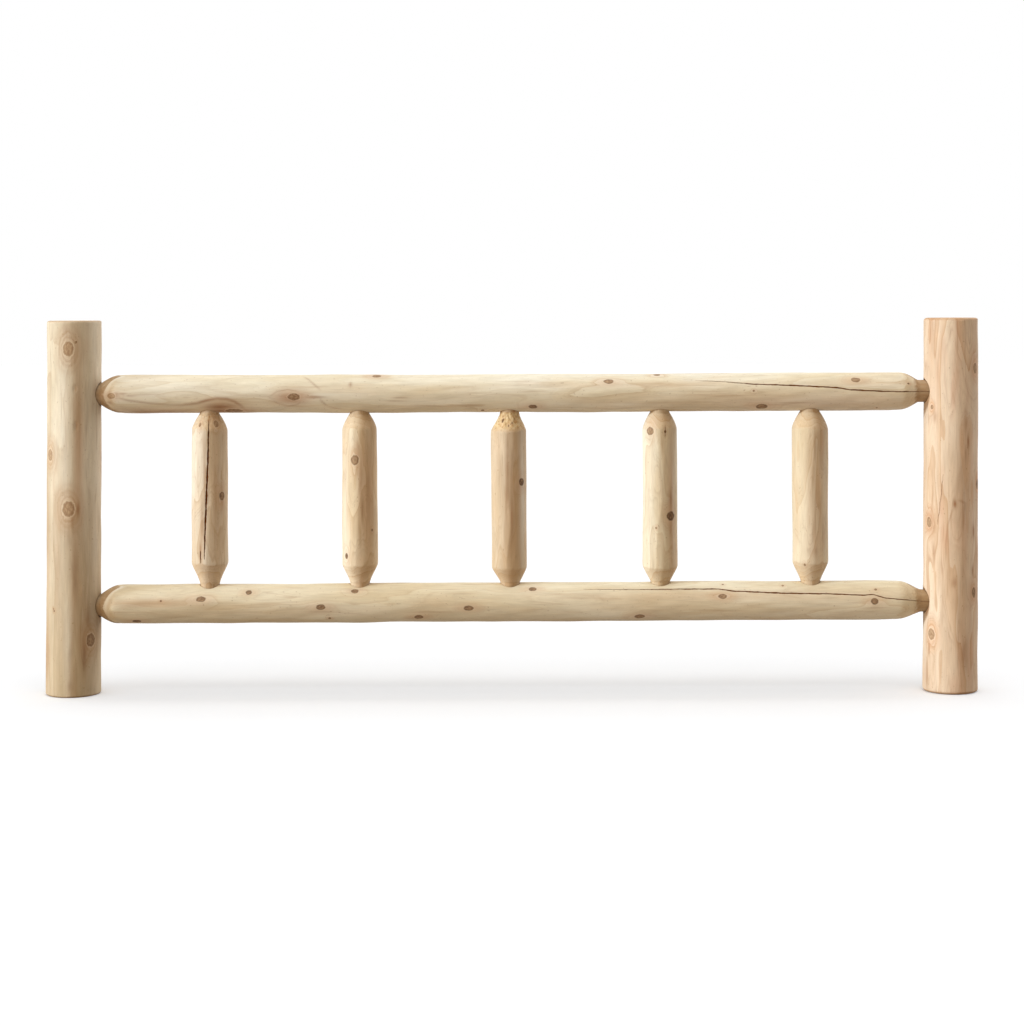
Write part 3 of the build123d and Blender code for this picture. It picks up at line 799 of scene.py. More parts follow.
POST_RIGHT = dict(
    knots=[
        knot(0.5976, 50, 18, 12, tone=0.45, rim=0.6), knot(0.3835, 64, 18, 12, tone=0.7, rim=0.7),
        knot(0.3139, -63, 18, 12, tone=0.4, rim=0.4), knot(0.1855, 46, 17, 11, tone=0.6, rim=0.7),
        knot(0.1086, -55, 19, 15, tone=0.3, swelling=0.4, rim=0.5),
        knot(0.526, -55, 8, 6, tone=0.45, swelling=0.1, rim=0.9),
    ] + knots_behind(32, 5, 0.05, 0.65, 18),
    stains=(
        (0.462, 27, 14, 2.5, 0.9), (0.440, 21, 18, 2, 0.6), (0.50, 22, 30, 4, 0.35),
        (0.508, -48, 12, 6, 0.4), (0.300, 45, 14, 3, 0.7), (0.226, 41, 12, 2.5, 0.7),
        (0.075, 20, 34, 8, 0.45), (0.035, -68, 24, 3, 0.7), (0.082, -62, 14, 2, 0.7),
        (0.205, -5, 10, 6, 0.5), (0.262, -50, 14, 3, 0.55), (0.61, 46, 40, 6, 0.3),
        (0.3139, -61, 17, 9, 0.65), (0.5976, 48, 16, 10, 0.5), (0.1855, 44, 16, 9, 0.5),
        (0.349, -3, 8, 3.5, 0.9),
        *streak(((0.357, 0), (0.340, -7), (0.3105, -18), (0.2755, -22), (0.24, -21)), 1.6, 0.4),
        *streak(((0.357, 0), (0.355, 11), (0.350, 20), (0.322, 17), (0.30, 14)), 2.6, 0.4),
    ),
    flames=((0.30, -5, 120, 14, 14), (0.47, 10, 70, 10, 9), (0.62, -20, 60, 12, 8), (0.12, 5, 60, 12, 8)),
    painted_shade_and_tone_spots=(
        (0.66, -58, 80, 13, 0.6), (0.64, 3, 100, 9, 0.6), (0.38, 13, 150, 9, 0.35),
        (0.07, 10, 70, 9, 0.5), (0.40, 62, 200, 7, 0.3),
    ),
    cracks=((((0.300, -33.4), (0.308, -32.9), (0.359, -27.0), (0.411, -22.7)), 0.42, 0.5),),
)
RAIL_TOP = dict(
    knots=[
        knot(-0.7364, -4, 14, 11, tone=0.3, rim=0.2),
        knot(-0.512, -62, 30, 13, tone=0.55, swelling=0.5, rim=0.5),
        knot(-0.4, -7, 21, 12, tone=0.6, swelling=0.5, rim=0.7), knot(-0.2496, 70, 15, 11, tone=0.6),
        knot(-0.054, -63, 6, 5, tone=0.8, swelling=0.1), knot(0.0382, -43, 15, 10, tone=0.75, rim=0.9),
        knot(0.1781, 39, 17, 10, tone=0.5, rim=0.9), knot(0.2676, 70, 12, 8, tone=0.7),
        knot(0.4439, 6, 3.5, 3.5, tone=0.8, swelling=0.1), knot(0.4599, -48, 20, 13, tone=0.65, rim=0.9),
        knot(0.6325, 39, 16, 10, tone=0.5, rim=0.9), knot(0.7292, 27, 4, 3.5, tone=0.9, swelling=0.1),
        knot(0.6725, -58, 3.5, 3, tone=0.6, swelling=0.1),
    ] + knots_behind(33, 9, -0.7, 0.7, 14),
    stains=(
        (-0.536, -40, 26, 9, 0.55), (-0.525, -64, 34, 8, 1.1), (-0.66, -68, 100, 8, 0.6),
        (-0.402, -8, 26, 11, 0.55), (-0.366, -8, 20, 3, 0.8), (-0.736, -5, 9, 8, 0.5),
        (-0.727, -2, 6, 6, 0.6), (-0.715, 3, 9, 2, 0.5), (-0.701, -4, 9, 2, 0.5),
        (-0.740, -28, 6, 4, 0.5), (-0.205, -10, 13, 1.3, 0.6), (-0.215, -20, 14, 1.3, 0.5),
        (-0.075, -38, 22, 2, 0.35), (-0.2496, 66, 17, 6, 0.5), (-0.2967, 30, 3, 6, 0.5),
        *streak(((-0.387, 68), (-0.3655, 34), (-0.3505, 12)), 1.4, 0.45),
        *streak(((-0.353, -8), (-0.3505, -18), (-0.34, -38), (-0.305, -57)), 1.6, 0.45),
        *streak(((-0.64, -34), (-0.61, -33), (-0.597, -30), (-0.577, -26), (-0.562, -18), (-0.5415, -11),
                 (-0.524, -13), (-0.510, -21), (-0.499, -35), (-0.4915, -54), (-0.49, -70)), 3.0, 0.75),
        *streak(((-0.4465, -8), (-0.4314, 9), (-0.4114, 15), (-0.394, 9), (-0.381, -4)), 1.6, 0.5),
        *streak(((-0.4465, -8), (-0.4314, -25), (-0.4114, -38), (-0.394, -31), (-0.381, -10)), 1.6, 0.5),
        *streak(((-0.727, -2), (-0.718, -12), (-0.706, -17), (-0.69, -21), (-0.665, -27), (-0.64, -31),
                 (-0.62, -32)), 1.8, 0.6),
    ),
    painted_shade_and_tone_spots=(
        (0.56, -32, 300, 22, 0.5), (0.56, -78, 400, 8, 0.4), (-0.66, -55, 90, 9, 0.5),
        (0.2, 26, 260, 7, 0.25), (-0.30, -80, 300, 6, 0.2), (0.64, 28, 130, 9, 0.4),
        (-0.535, -40, 36, 16, 0.9), (-0.41, -11, 30, 14, 0.7),
    ),
    painted_light_and_pale_spots=((-0.68, 34, 60, 22, 0.2), (-0.66, -3, 60, 5, 0.25), (-0.67, -18, 50, 4, 0.2)),
)
RAIL_BOTTOM = dict(
    knots=[
        knot(-0.6926, -53, 15, 9, tone=0.9, rim=0.9), knot(-0.6461, 16, 3.5, 3.5, tone=1.0, swelling=0.1),
        knot(-0.5728, 21, 17, 10, tone=0.6, rim=0.8), knot(-0.4855, 42, 11, 9, tone=0.75, rim=0.8),
        knot(-0.3522, -4, 16, 10, tone=0.7, rim=0.9), knot(-0.3366, -43, 5, 4.5, tone=0.7, swelling=0.1),
        knot(-0.2905, 44, 13, 9, tone=0.75), knot(-0.1728, -40, 16, 10, tone=0.6, rim=0.9),
        knot(-0.0806, -10, 17, 9, tone=0.7, rim=0.8), knot(0.0371, 49, 14, 9, tone=0.75, rim=0.8),
        knot(0.2337, -42, 18, 10, tone=0.55, rim=0.9), knot(0.3858, 21, 15, 9, tone=0.55, rim=0.8),
        knot(0.3878, 64, 3.5, 3.5, tone=0.7, swelling=0.1),
        knot(0.4978, 56, 4, 4, tone=0.6, swelling=0.1),
        knot(0.6645, 4, 13, 11, tone=0.8, swelling=0.5, rim=0.9),
        knot(0.6679, 40, 5, 4, tone=0.6, swelling=0.1),
    ] + knots_behind(34, 9, -0.7, 0.7, 14),
    painted_shade_and_tone_spots=(
        (-0.66, 10, 90, 9, 0.8), (-0.45, -15, 300, 14, 0.25), (0.45, 22, 400, 13, 0.5),
        (0.35, -15, 500, 12, 0.15),
    ),
    painted_light_and_pale_spots=((0.45, -45, 400, 9, 0.2), (-0.66, -58, 90, 8, 0.15)),
)
SPINDLE_GROWTH = (
    dict(
        knots=[
            knot(0.4977, -28, 8, 6, tone=0.5, rim=0.7), knot(0.4994, 33, 12, 10, tone=0.4, rim=0.5),
            knot(0.3662, 50, 15, 12, tone=0.8, rim=0.6),
        ] + knots_behind(41, 2, 0.24, 0.48, 12),
        stains=(
            (0.512, 7, 5, 2.5, 1.2), (0.505, 3, 6, 1.5, 1.2), (0.508, 28, 5, 3, 0.8),
            (0.497, 38, 6, 4, 0.8), (0.509, 55, 5, 3, 0.9), (0.42, -9, 60, 2.5, 0.5),
            (0.31, -17, 45, 3.5, 0.5), (0.268, -22, 16, 3, 0.7), (0.502, 8, 9, 7, 0.5),
            (0.36, 50, 26, 4, 0.5), (0.50, -25, 12, 5, 0.4),
        ),
        painted_shade_and_tone_spots=((0.37, 30, 130, 9, 0.3),),
        cracks=(
            (((0.2501, -5.4), (0.3111, -3.8), (0.3791, -0.8), (0.4321, 1.7), (0.5081, 3.4)), 3.3, 3.2),
            (((0.244, -12.4), (0.256, -12.6), (0.2683, -12.5)), 1.8, 3),
        ),
        fray=0.35,
    ),
    dict(
        knots=[
            knot(0.4325, -12, 17, 14, tone=0.5, rim=0.9), knot(0.2551, -45, 10, 7, tone=0.95),
            knot(0.3028, 46, 5, 4, tone=0.6),
        ] + knots_behind(42, 2, 0.24, 0.48, 12),
        stains=(
            (0.445, -3, 24, 3.5, 0.5), (0.395, 6, 26, 3, 0.6), (0.34, 12, 30, 3, 0.45),
            (0.29, 6, 26, 2.5, 0.35),
        ),
        painted_shade_and_tone_spots=((0.36, 34, 130, 13, 0.75), (0.25, 5, 20, 30, 0.3)),
        painted_light_and_pale_spots=((0.36, -50, 120, 7, 0.3),),
        flames=((0.39, -12, 34, 10, 9), (0.30, 5, 40, 9, 7)),
    ),
    dict(
        knots=[
            knot(0.3903, 46, 13, 12, tone=0.95, rim=1.0), knot(0.5031, -32, 7, 6, tone=1.0, swelling=0.0),
            knot(0.4941, -2, 4, 3, tone=0.9, swelling=0.0), knot(0.499, 12, 4, 3, tone=0.7, swelling=0.0),
        ] + knots_behind(43, 2, 0.24, 0.48, 12),
        stains=(
            (0.5165, 28, 6, 6, 1.3), (0.516, 68, 7, 4, 1.1), (0.518, -60, 3, 4, 1.2),
            (0.500, 38, 12, 5, 0.7), (0.388, 47, 16, 6, 0.4), (0.42, -4, 60, 2, 0.5),
            (0.36, -9, 60, 2.5, 0.4), (0.33, 9, 60, 2, 0.4),
        ),
        painted_shade_and_tone_spots=((0.37, 12, 160, 16, 0.35),),
        painted_light_and_pale_spots=((0.37, 50, 130, 7, 0.6),),
        fray=1.0,
    ),
    dict(
        knots=[
            knot(0.4835, -38, 14, 14, tone=0.45, rim=0.9),
            knot(0.4827, 15, 5, 4, tone=1.0, swelling=0.1, rim=0.9),
            knot(0.327, 34, 16, 16.5, tone=1.0, rim=1.0), knot(0.3055, -17, 4, 3.5, tone=0.6),
        ] + knots_behind(44, 2, 0.24, 0.48, 12),
        stains=((0.355, 34, 20, 4, 0.6), (0.300, 33, 26, 3.5, 0.4)),
        painted_shade_and_tone_spots=((0.36, 37, 120, 7, 0.75), (0.505, 0, 12, 40, 0.3)),
        painted_light_and_pale_spots=((0.36, 46, 110, 4, 0.3),),
        flames=((0.40, 0, 50, 10, 6),),
        cracks=((((0.470, 8.0), (0.483, 8.2), (0.495, 8.4)), 0.8, 1.5),),
    ),
    dict(
        knots=[knot(0.2365, -26, 5, 4, tone=0.5)] + knots_behind(45, 2, 0.24, 0.48, 12),
        stains=((0.45, 8, 26, 3, 0.45), (0.41, 2, 26, 2.5, 0.4), (0.262, 0, 8, 12, 0.3)),
        painted_shade_and_tone_spots=(
            (0.46, 32, 60, 8, 0.7), (0.38, 18, 60, 7, 0.6), (0.30, 4, 50, 6, 0.5),
            (0.36, -6, 120, 8, 0.45),
        ),
        painted_light_and_pale_spots=((0.37, 44, 120, 6, 0.25),),
        flames=((0.42, 5, 60, 10, 10), (0.31, -10, 50, 10, 9)),
    ),
)


# ---------------------------------------------------------------- finishes
def paint(code):
    """A linear colour from a six digit hexadecimal code."""
    parts = [int(code[i:i + 2], 16) / 255 for i in (0, 2, 4)]
    return (*[p / 12.92 if p <= 0.04045 else ((p + 0.055) / 1.055) ** 2.4 for p in parts], 1.0)


def add_node(tree, kind, inputs, output=0, **settings):
    """Adds a node to a tree: an input is a number, a colour or another node's output."""
    node = tree.nodes.new("ShaderNode" + kind)
    for name, value in settings.items():
        setattr(node, name, value)
    for key, value in inputs.items():
        feed(tree, node.inputs[key], value)
    return node.outputs[output] if node.outputs else None


def feed(tree, socket, value):
    if isinstance(value, bpy.types.NodeSocket):
        tree.links.new(value, socket)
    else:
        socket.default_value = value


class Nodes:
    """A material and what its nodes work out."""

    def __init__(self, name):
        self.material = bpy.data.materials.new(name)
        self.material.use_nodes = True
        self.tree = self.material.node_tree
        self.shader = self.tree.nodes["Principled BSDF"]

    def add(self, kind, inputs, output=0, **settings):
        return add_node(self.tree, kind, inputs, output, **settings)

    def surface(self, socket, value):
        """Feeds one of the shader's own sockets."""
        feed(self.tree, self.shader.inputs[socket], value)

    def maths(self, operation, a, b=0.0, c=0.0, clamp=False):
        return self.add("Math", {0: a, 1: b, 2: c}, operation=operation, use_clamp=clamp)

    def length(self, vector):
        return self.add("VectorMath", {0: vector}, output=1, operation="LENGTH")

    def mix(self, share, a, b, blend="MIX"):
        return self.add("Mix", {0: share, 6: a, 7: b}, output=2, data_type="RGBA", blend_type=blend)

    def between(self, value, low, high):
        """0 at low and 1 at high, smooth between."""
        return self.add("MapRange", {"Value": value, "From Min": low, "From Max": high},
                        interpolation_type="SMOOTHSTEP")

    def at_least(self, least, share):
        """From least, where share is 0, to 1."""
        return self.maths("MULTIPLY_ADD", share, 1 - least, least)

    def noise(self, place, scale, shift=0.0, detail=2.0):
        """Noise with its own scale along each axis of the log, from 0 to 1."""
        spread = self.add("VectorMath", {0: place, 1: scale, 2: (shift, shift * 1.7, shift * 0.6)},
                          operation="MULTIPLY_ADD")
        return self.add("TexNoise", {"Vector": spread, "Scale": 1.0, "Detail": detail})

    def ramp(self, value, stops):
        """A ramp through stops of (place, colour)."""
        node = self.tree.nodes.new("ShaderNodeValToRGB")
        band = node.color_ramp
        while len(band.elements) < len(stops):
            band.elements.new(1.0)
        for element, (place, colour) in zip(band.elements, stops):
            element.position = place
            element.color = colour
        feed(self.tree, node.inputs["Fac"], value)
        return node.outputs["Color"]

    def levels(self, value, stops):
        """A ramp through stops of (place, level of grey)."""
        return self.ramp(value, [(place, grey(level)) for place, level in stops])

    def attribute(self, name, output="Fac"):
        return self.add("Attribute", {}, output=output, attribute_name=name)


def grey(level):
    return (level, level, level, 1.0)


class Wood(Nodes):
    """Peeled softwood: growth rings as a solid pattern round the pith, fibres, knots and cut faces.

    centre is a point of the pith. tones holds the log's colours, and how strong each of them is.
    """

    def __init__(self, log, centre, tones):
        super().__init__(log.name + "_wood")
        self.tones = tones
        self.shift = log.seed * 3.1
        turn = (0, 0, 0) if log.upright else (0, math.pi / 2, 0)
        place = self.add("TexCoord", {}, output="Object")
        self.place = self.add("Mapping", {"Vector": place, "Location": centre, "Rotation": turn},
                              vector_type="TEXTURE")
        self.find_knots()
        self.grow_rings()
        colour = self.clear_wood()
        colour = self.stains_and_painted_light(colour)
        colour = self.shoulders(colour)
        colour = self.fibrous(colour)
        colour = self.knotty(colour)
        self.finish_surface(colour)

    def patch(self, scale, shift=0.0, detail=2.0):
        """Noise that is this log's own."""
        return self.noise(self.place, scale, self.shift + shift, detail)

    def tint(self, colour, where, tone, share=None):
        """The colour, changed to a tone of this log where it says and by the tone's share."""
        strength = self.tones[tone + "_share"] if share is None else share
        return self.mix(self.maths("MULTIPLY", where, strength), colour, paint(self.tones[tone]))

    def find_knots(self):
        """reach is the distance from the nearest knot, and long is that in an oval along the grain."""
        split = self.add("SeparateXYZ", {0: self.attribute("knot_place", "Vector")}).node
        self.near = split.outputs[2]
        ragged = self.maths("SUBTRACT", self.patch((230, 230, 150), 9, 3), 0.5)
        self.uneven = self.maths("MULTIPLY", ragged, 0.55)
        flat = self.add("CombineXYZ", {0: split.outputs[0], 1: split.outputs[1], 2: 0.0})
        drawn = self.add("VectorMath", {0: flat, 1: (self.tones["reach"], 1, 1)}, operation="MULTIPLY")
        self.reach = self.maths("ADD", self.length(flat), self.uneven)
        self.long = self.maths("ADD", self.length(drawn), self.uneven)

    def beside_knots(self, fade):
        """1 in a knot's middle, and less away from it."""
        squared = self.maths("MULTIPLY", self.long, self.long)
        bell = self.maths("EXPONENT", self.maths("MULTIPLY", squared, -fade))
        return self.maths("MULTIPLY", bell, self.near)

    def grow_rings(self):
        """Growth rings: distance from the pith, in waves, and lifted round knots and flames."""
        tones = self.tones
        across = self.add("VectorMath", {0: self.place, 1: (1, 1, 0)}, operation="MULTIPLY")
        self.height = self.add("SeparateXYZ", {0: self.place}, output=2)
        self.waves = self.maths("SUBTRACT", self.patch((20, 20, tones["wave_pace"]), 0, 2.5), 0.5)
        wrinkles = self.maths("SUBTRACT", self.patch((110, 110, 17), 4, 3), 0.5)
        field = self.maths("MULTIPLY_ADD", self.height, 0.006, self.length(across))
        field = self.maths("MULTIPLY_ADD", self.waves, tones["wave_depth"], field)
        field = self.maths("MULTIPLY_ADD", wrinkles, tones["wrinkle"], field)
        field = self.maths("ADD", field, self.attribute("grain_lift"))
        field = self.maths("MULTIPLY_ADD", self.beside_knots(0.28), tones["pull"], field)
        self.ring, self.luck = self.divided(field, tones["ring_width"])
        fine, fine_luck = self.divided(field, tones["ring_width"] * 0.27)
        patches = self.between(self.patch((15, 15, 3.4), 7), 0.38, 0.60)
        broken = self.between(self.patch((90, 90, 12), 8), 0.30, 0.58)
        self.line = self.levels(self.ring, (
            (0.0, 0.15), (0.08, 0.0), (0.60, 0.0), (0.80, 0.35), (0.93, 1.0), (1.0, 0.15)))
        for least, share in ((0.25, patches), (0.4, broken), (0.25, self.luck)):
            self.line = self.maths("MULTIPLY", self.line, self.at_least(least, share))
        fine = self.levels(fine, ((0.0, 0.1), (0.2, 0.0), (0.8, 1.0), (1.0, 0.1)))
        fine_luck = self.maths("MULTIPLY", fine_luck, self.at_least(0.2, broken))
        self.fine = self.maths("MULTIPLY", fine, fine_luck)

    def divided(self, field, width):
        """(place within its ring, a chance value of the ring) for rings of this width."""
        rings = self.maths("DIVIDE", field, width)
        luck = self.add("TexWhiteNoise", {"W": self.maths("FLOOR", rings)}, noise_dimensions="1D")
        return self.maths("FRACT", rings), luck

    def clear_wood(self):
        """Colour of clear wood, in bands that follow the rings."""
        tones = self.tones
        broad = self.between(self.patch((22, 22, 3.4), 2, 3.5), 0.3, 0.7)
        colour = self.mix(broad, paint(tones["pale"]), paint(tones["deep"]))
        band = self.maths("MULTIPLY", self.at_least(0.4, self.ring), self.between(self.luck, 0.35, 0.9))
        colour = self.tint(colour, band, "band")
        warm = self.between(self.patch((30, 30, 5.5), 12, 3), 0.52, 0.80)
        colour = self.tint(colour, warm, "warm")
        blotch = self.levels(self.patch((85, 85, 24), 17, 3), ((0.3, 0.92), (0.7, 1.0)))
        colour = self.mix(1.0, colour, blotch, "MULTIPLY")
        colour = self.tint(colour, self.line, "line")
        colour = self.tint(colour, self.fine, "line", tones["fine_share"])
        streaks = self.between(self.patch((160, 160, 8), 15, 3), 0.56, 0.80)
        return self.tint(colour, streaks, "streak")

    def stains_and_painted_light(self, colour):
        """Stains, spots of painted shade and of painted light (some of them darker or paler tone of the
        wood), and a cast that changes along the log.
        """
        self.mottle = self.maths("MULTIPLY", self.patch((120, 120, 22), 20, 3), 1.9)
        stained = self.maths("MULTIPLY", self.attribute("stained"), self.mottle, clamp=True)
        colour = self.mix(stained, colour, paint(self.tones["stain"]))
        if self.tones["along"]:
            low, high, stops = self.tones["along"]
            height = self.maths("MULTIPLY_ADD", self.waves, 0.25 * (high - low), self.height)
            share = self.add("MapRange", {"Value": height, "From Min": low, "From Max": high})
            cast = self.ramp(share, [(at, paint(code)) for at, code in stops])
            colour = self.mix(1.0, colour, cast, "MULTIPLY")
        # painted shade: the colour multiplied by a pinkish brown
        painted_shade_and_tone = self.mix(1.0, colour, paint("e2ccbd"), "MULTIPLY")
        colour = self.mix(self.attribute("painted_shade_and_tone"), colour, painted_shade_and_tone)
        # painted light: a near white mixed in
        return self.mix(self.attribute("painted_light_and_pale"), colour, paint("f9f4e8"))

    def shoulders(self, colour):
        """Shaved shoulders, the brown of the tenons, which on a rail's left shoulder also paints the left
        post's shadow, and torn fibres.
        """
        colour = self.tint(colour, self.attribute("turned"), "turned")
        seat = self.maths("MULTIPLY_ADD", self.uneven, 2.0, self.attribute("seat"))
        seat = self.between(seat, 0.1, 0.95)
        spotted = self.maths("MULTIPLY_ADD", self.mottle, 0.3, 0.65)
        self.seat = self.maths("MULTIPLY", seat, spotted, clamp=True)
        colour = self.tint(colour, self.seat, "seat")
        torn = self.ramp(self.patch((230, 230, 150), 50, 3), (
            (0.25, paint("5d3f22")), (0.34, paint("b58a54")), (0.46, paint("e3c28b")),
            (0.62, paint("f4dfb2")), (0.75, paint("c99c66"))))
        return self.mix(self.maths("MULTIPLY", self.attribute("frayed"), 0.66), colour, torn)

    def fibrous(self, colour):
        """Fine fibres and dark pits."""
        self.fibres = self.patch((1000, 1000, 34), 30)
        colour = self.mix(1.0, colour, self.levels(self.fibres, ((0.25, 0.88), (0.75, 1.0))), "MULTIPLY")
        pits = self.between(self.patch((300, 300, 170), 33), 0.67, 0.75)
        strength = self.maths("MULTIPLY_ADD", self.seat, 0.3, 0.4)
        return self.mix(self.maths("MULTIPLY", pits, strength), colour, paint("96714e"))

    def knotty(self, colour):
        """Warmer wood round the knots, tan and pale rings, then the knots' hearts."""
        tone = self.attribute("knot_tone")
        colour = self.tint(colour, self.beside_knots(0.30), "glow")
        halo = self.levels(self.maths("MULTIPLY", self.long, 0.25), (
            (0.0, 0.4), (0.22, 0.5), (0.27, 0.0), (0.33, 0.7), (0.39, 0.15), (0.47, 0.5), (0.56, 0.1),
            (0.66, 0.3), (0.9, 0.0)))
        colour = self.tint(colour, self.maths("MULTIPLY", halo, self.near), "halo")
        pale_ring = self.levels(self.maths("MULTIPLY", self.reach, 0.5), (
            (0.0, 0.0), (0.54, 0.0), (0.60, 1.0), (0.68, 0.0)))
        pale_ring = self.maths("MULTIPLY", pale_ring, self.maths("MULTIPLY_ADD", tone, -0.5, 0.6))
        colour = self.mix(self.maths("MULTIPLY", pale_ring, self.near), colour, paint("efdfc2"))
        self.grains = self.between(self.patch((420, 420, 210), 25, 3), 0.35, 0.65)
        light_heart = self.mix(self.grains, paint("b08e6c"), paint("cbae8b"))
        dark_heart = self.mix(self.grains, paint("4f341f"), paint("8a6745"))
        heart = self.mix(tone, light_heart, dark_heart)
        rim = self.levels(self.reach, ((0.0, 0.4), (0.25, 0.0), (0.62, 0.0), (0.95, 1.0)))
        rim = self.maths("MULTIPLY", rim, self.maths("MULTIPLY_ADD", self.attribute("knot_rim"), 0.75, 0.1))
        heart = self.mix(rim, heart, self.mix(tone, paint("936f4e"), paint("442b18")))
        cover = self.maths("MULTIPLY", self.between(self.reach, 1.26, 0.84), self.near)
        return self.mix(self.maths("MULTIPLY", cover, 0.92), colour, heart)

    def finish_surface(self, colour):
        """Cut faces and checks, then gloss and relief."""
        colour = self.mix(self.maths("MULTIPLY", self.attribute("cut_face"), 0.4), colour, paint("bf9a70"))
        # painted shade: checks and the bands along their lips are painted dark brown
        cracked = self.attribute("cracked")
        colour = self.mix(cracked, colour, self.mix(self.grains, paint("6e3d1c"), paint("8f5a30")))
        self.surface("Base Color", colour)
        self.surface("Roughness", self.maths("MULTIPLY_ADD", self.fibres, 0.12, 0.60))
        self.surface("Specular IOR Level", self.maths("MULTIPLY_ADD", cracked, -0.18, 0.18))
        relief = self.maths("MULTIPLY", self.fibres, 0.07)
        relief = self.maths("MULTIPLY_ADD", self.patch((50, 50, 9), 40, 3), 0.9, relief)
        relief = self.maths("MULTIPLY_ADD", self.line, -0.08, relief)
        relief = self.maths("MULTIPLY_ADD", self.patch((260, 260, 200), 44), 0.10, relief)
        self.surface("Normal", self.add("Bump", {"Strength": 1.0, "Distance": 1.0 * MM, "Height": relief}))


def steel():
    """Zinc plated steel of screws and brads, lightly brushed."""
    n = Nodes("fastener_steel")
    place = n.add("TexCoord", {}, output="Object")
    wear = n.noise(place, (900, 900, 900), detail=3)
    n.surface("Base Color", n.mix(wear, paint("8d8c88"), paint("c2c0ba")))
    n.surface("Roughness", n.maths("MULTIPLY_ADD", wear, 0.25, 0.22))
    n.surface("Metallic", 1.0)
    return n.material


POST_LEFT_TONES = dict(
    pale="f2e6cf", deep="dfcfb2", warm="d8b492", warm_share=0.40, line="a98a68", line_share=0.32,
    fine_share=0.14, band="d5bb98", band_share=0.35, streak="ab8c6e", streak_share=0.40, stain="a17a58",
    turned="ab7f54", turned_share=0.50, seat="94704a", seat_share=0.8, glow="d4a87e", glow_share=0.36,
    halo="a97f56", halo_share=0.55, reach=0.72, ring_width=3.8 * MM, wave_depth=0.030, wave_pace=3.5,
    wrinkle=2.2 * MM, pull=8 * MM,
    along=(0.05, 0.60, ((0.0, "eae2d6"), (0.45, "ebe4dc"), (0.62, "ffffff"), (1.0, "ffffff"))),
)
POST_RIGHT_TONES = dict(
    POST_LEFT_TONES, pale="efdac0", deep="dec3a5", warm="d9a684", warm_share=0.60, line="a06e4a",
    line_share=0.55, fine_share=0.26, band="d3a87c", band_share=0.70, streak="a87650", streak_share=0.50,
    stain="9c6842", turned="ad7a4c", ring_width=4.8 * MM, wave_depth=0.046, wave_pace=3.0, wrinkle=1.6 * MM,
    halo_share=0.28, glow_share=0.50, glow="d69a6c", pull=10 * MM, along=None,
)
# seat is also the colour of the painted shadow of the left post on the rails' left shoulders
RAIL_TONES = dict(
    POST_LEFT_TONES, pale="f7efdc", deep="ebdec2", warm="dfc29c", warm_share=0.35, line="b08c62",
    line_share=0.36, fine_share=0.16, band="dfc79e", band_share=0.40, streak="b58f68", streak_share=0.38,
    turned="e0c79f", turned_share=0.15, seat="a07b53", seat_share=0.78, reach=0.58, stain="9f7150",
    glow="d0a488", glow_share=0.32, halo="ba9468", halo_share=0.14, ring_width=3.2 * MM,
    wave_depth=0.026, wave_pace=3.2, wrinkle=2.4 * MM, pull=4 * MM, along=None,
)
RAIL_BOTTOM_TONES = dict(RAIL_TONES, pale="f3e9d0", deep="e6d7b7", stain="9c7a5e")
SPINDLE_TONES = dict(
    RAIL_TONES, warm="dab08a", warm_share=0.40, line="a57d54", line_share=0.30, fine_share=0.24,
    band="d2b084", band_share=0.55, streak="ae865e", stain="a0704a", seat="b08a5e", seat_share=0.30,
    wave_pace=4.5, wave_depth=0.030, turned="cda880", turned_share=0.26, wrinkle=1.5 * MM, pull=6 * MM,
    glow_share=0.26, halo_share=0.22,
)
SPINDLE_PALES = ("f1e4cf", "f7ead0", "e6d5bb", "f4ead3", "efe0c5")
SPINDLE_DEEPS = ("dfcaac", "e2c9a3", "d0b591", "e2d1b0", "dcc7a4")


# ---------------------------------------------------------------- the pieces
# a point of each log's pith, which its growth rings go round
PITHS = {
    "post_left": (-post_centre + 5 * MM, -4 * MM, 0),
    "post_right": (post_centre - 6 * MM, -5 * MM, 0),
    "rail_top": (0, 4 * MM, 0.5492),
    "rail_bottom": (0, 4 * MM, 0.1715),
}
for index, place in enumerate(spindle_places):
    PITHS[f"spindle_{index + 1}"] = (place + 4 * MM, -3 * MM, 0.36)


def dress(made, tones):
    """Puts a log in its node's place and gives it its finish."""
    log, piece = made
    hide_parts(log.name)
    piece.name = log.name + "_log"
    piece.data.materials.clear()
    piece.data.materials.append(Wood(log, PITHS[log.name], tones).material)
    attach(piece, "root")
    return piece


logs = [
    dress(make_post("post_left", side=-1, seed=3, edge=4.5 * MM, **POST_LEFT), POST_LEFT_TONES),
    dress(make_post("post_right", side=1, seed=8, edge=6.5 * MM, **POST_RIGHT),
          POST_RIGHT_TONES),
    dress(make_rail("rail_top", seed=5, **RAIL_TOP), RAIL_TONES),
    dress(make_rail("rail_bottom", seed=6, **RAIL_BOTTOM), RAIL_BOTTOM_TONES),
]
for index, growth in enumerate(SPINDLE_GROWTH):
    tones = dict(SPINDLE_TONES, pale=SPINDLE_PALES[index], deep=SPINDLE_DEEPS[index])
    logs.append(dress(make_spindle(index, **growth), tones))

metal = steel()
fasteners = [o for name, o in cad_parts.items() if "screws" in name or "brads" in name]
for fastener in fasteners:
    for material_slot in fastener.material_slots:
        material_slot.material = metal


# ---------------------------------------------------------------- studio
FLOOR_BOUNCE = (0.465, 0.39, 0.32, 1.0)             # the floor's colour for the light that it throws back
FLOOR_SHADOW_PART = (0.885, 0.895, 0.910, 1.0)      # what takes the shadow
FLOOR_WHITE_PART = 0.14                             # what stays white in it
FILL_LEVEL = 0.03


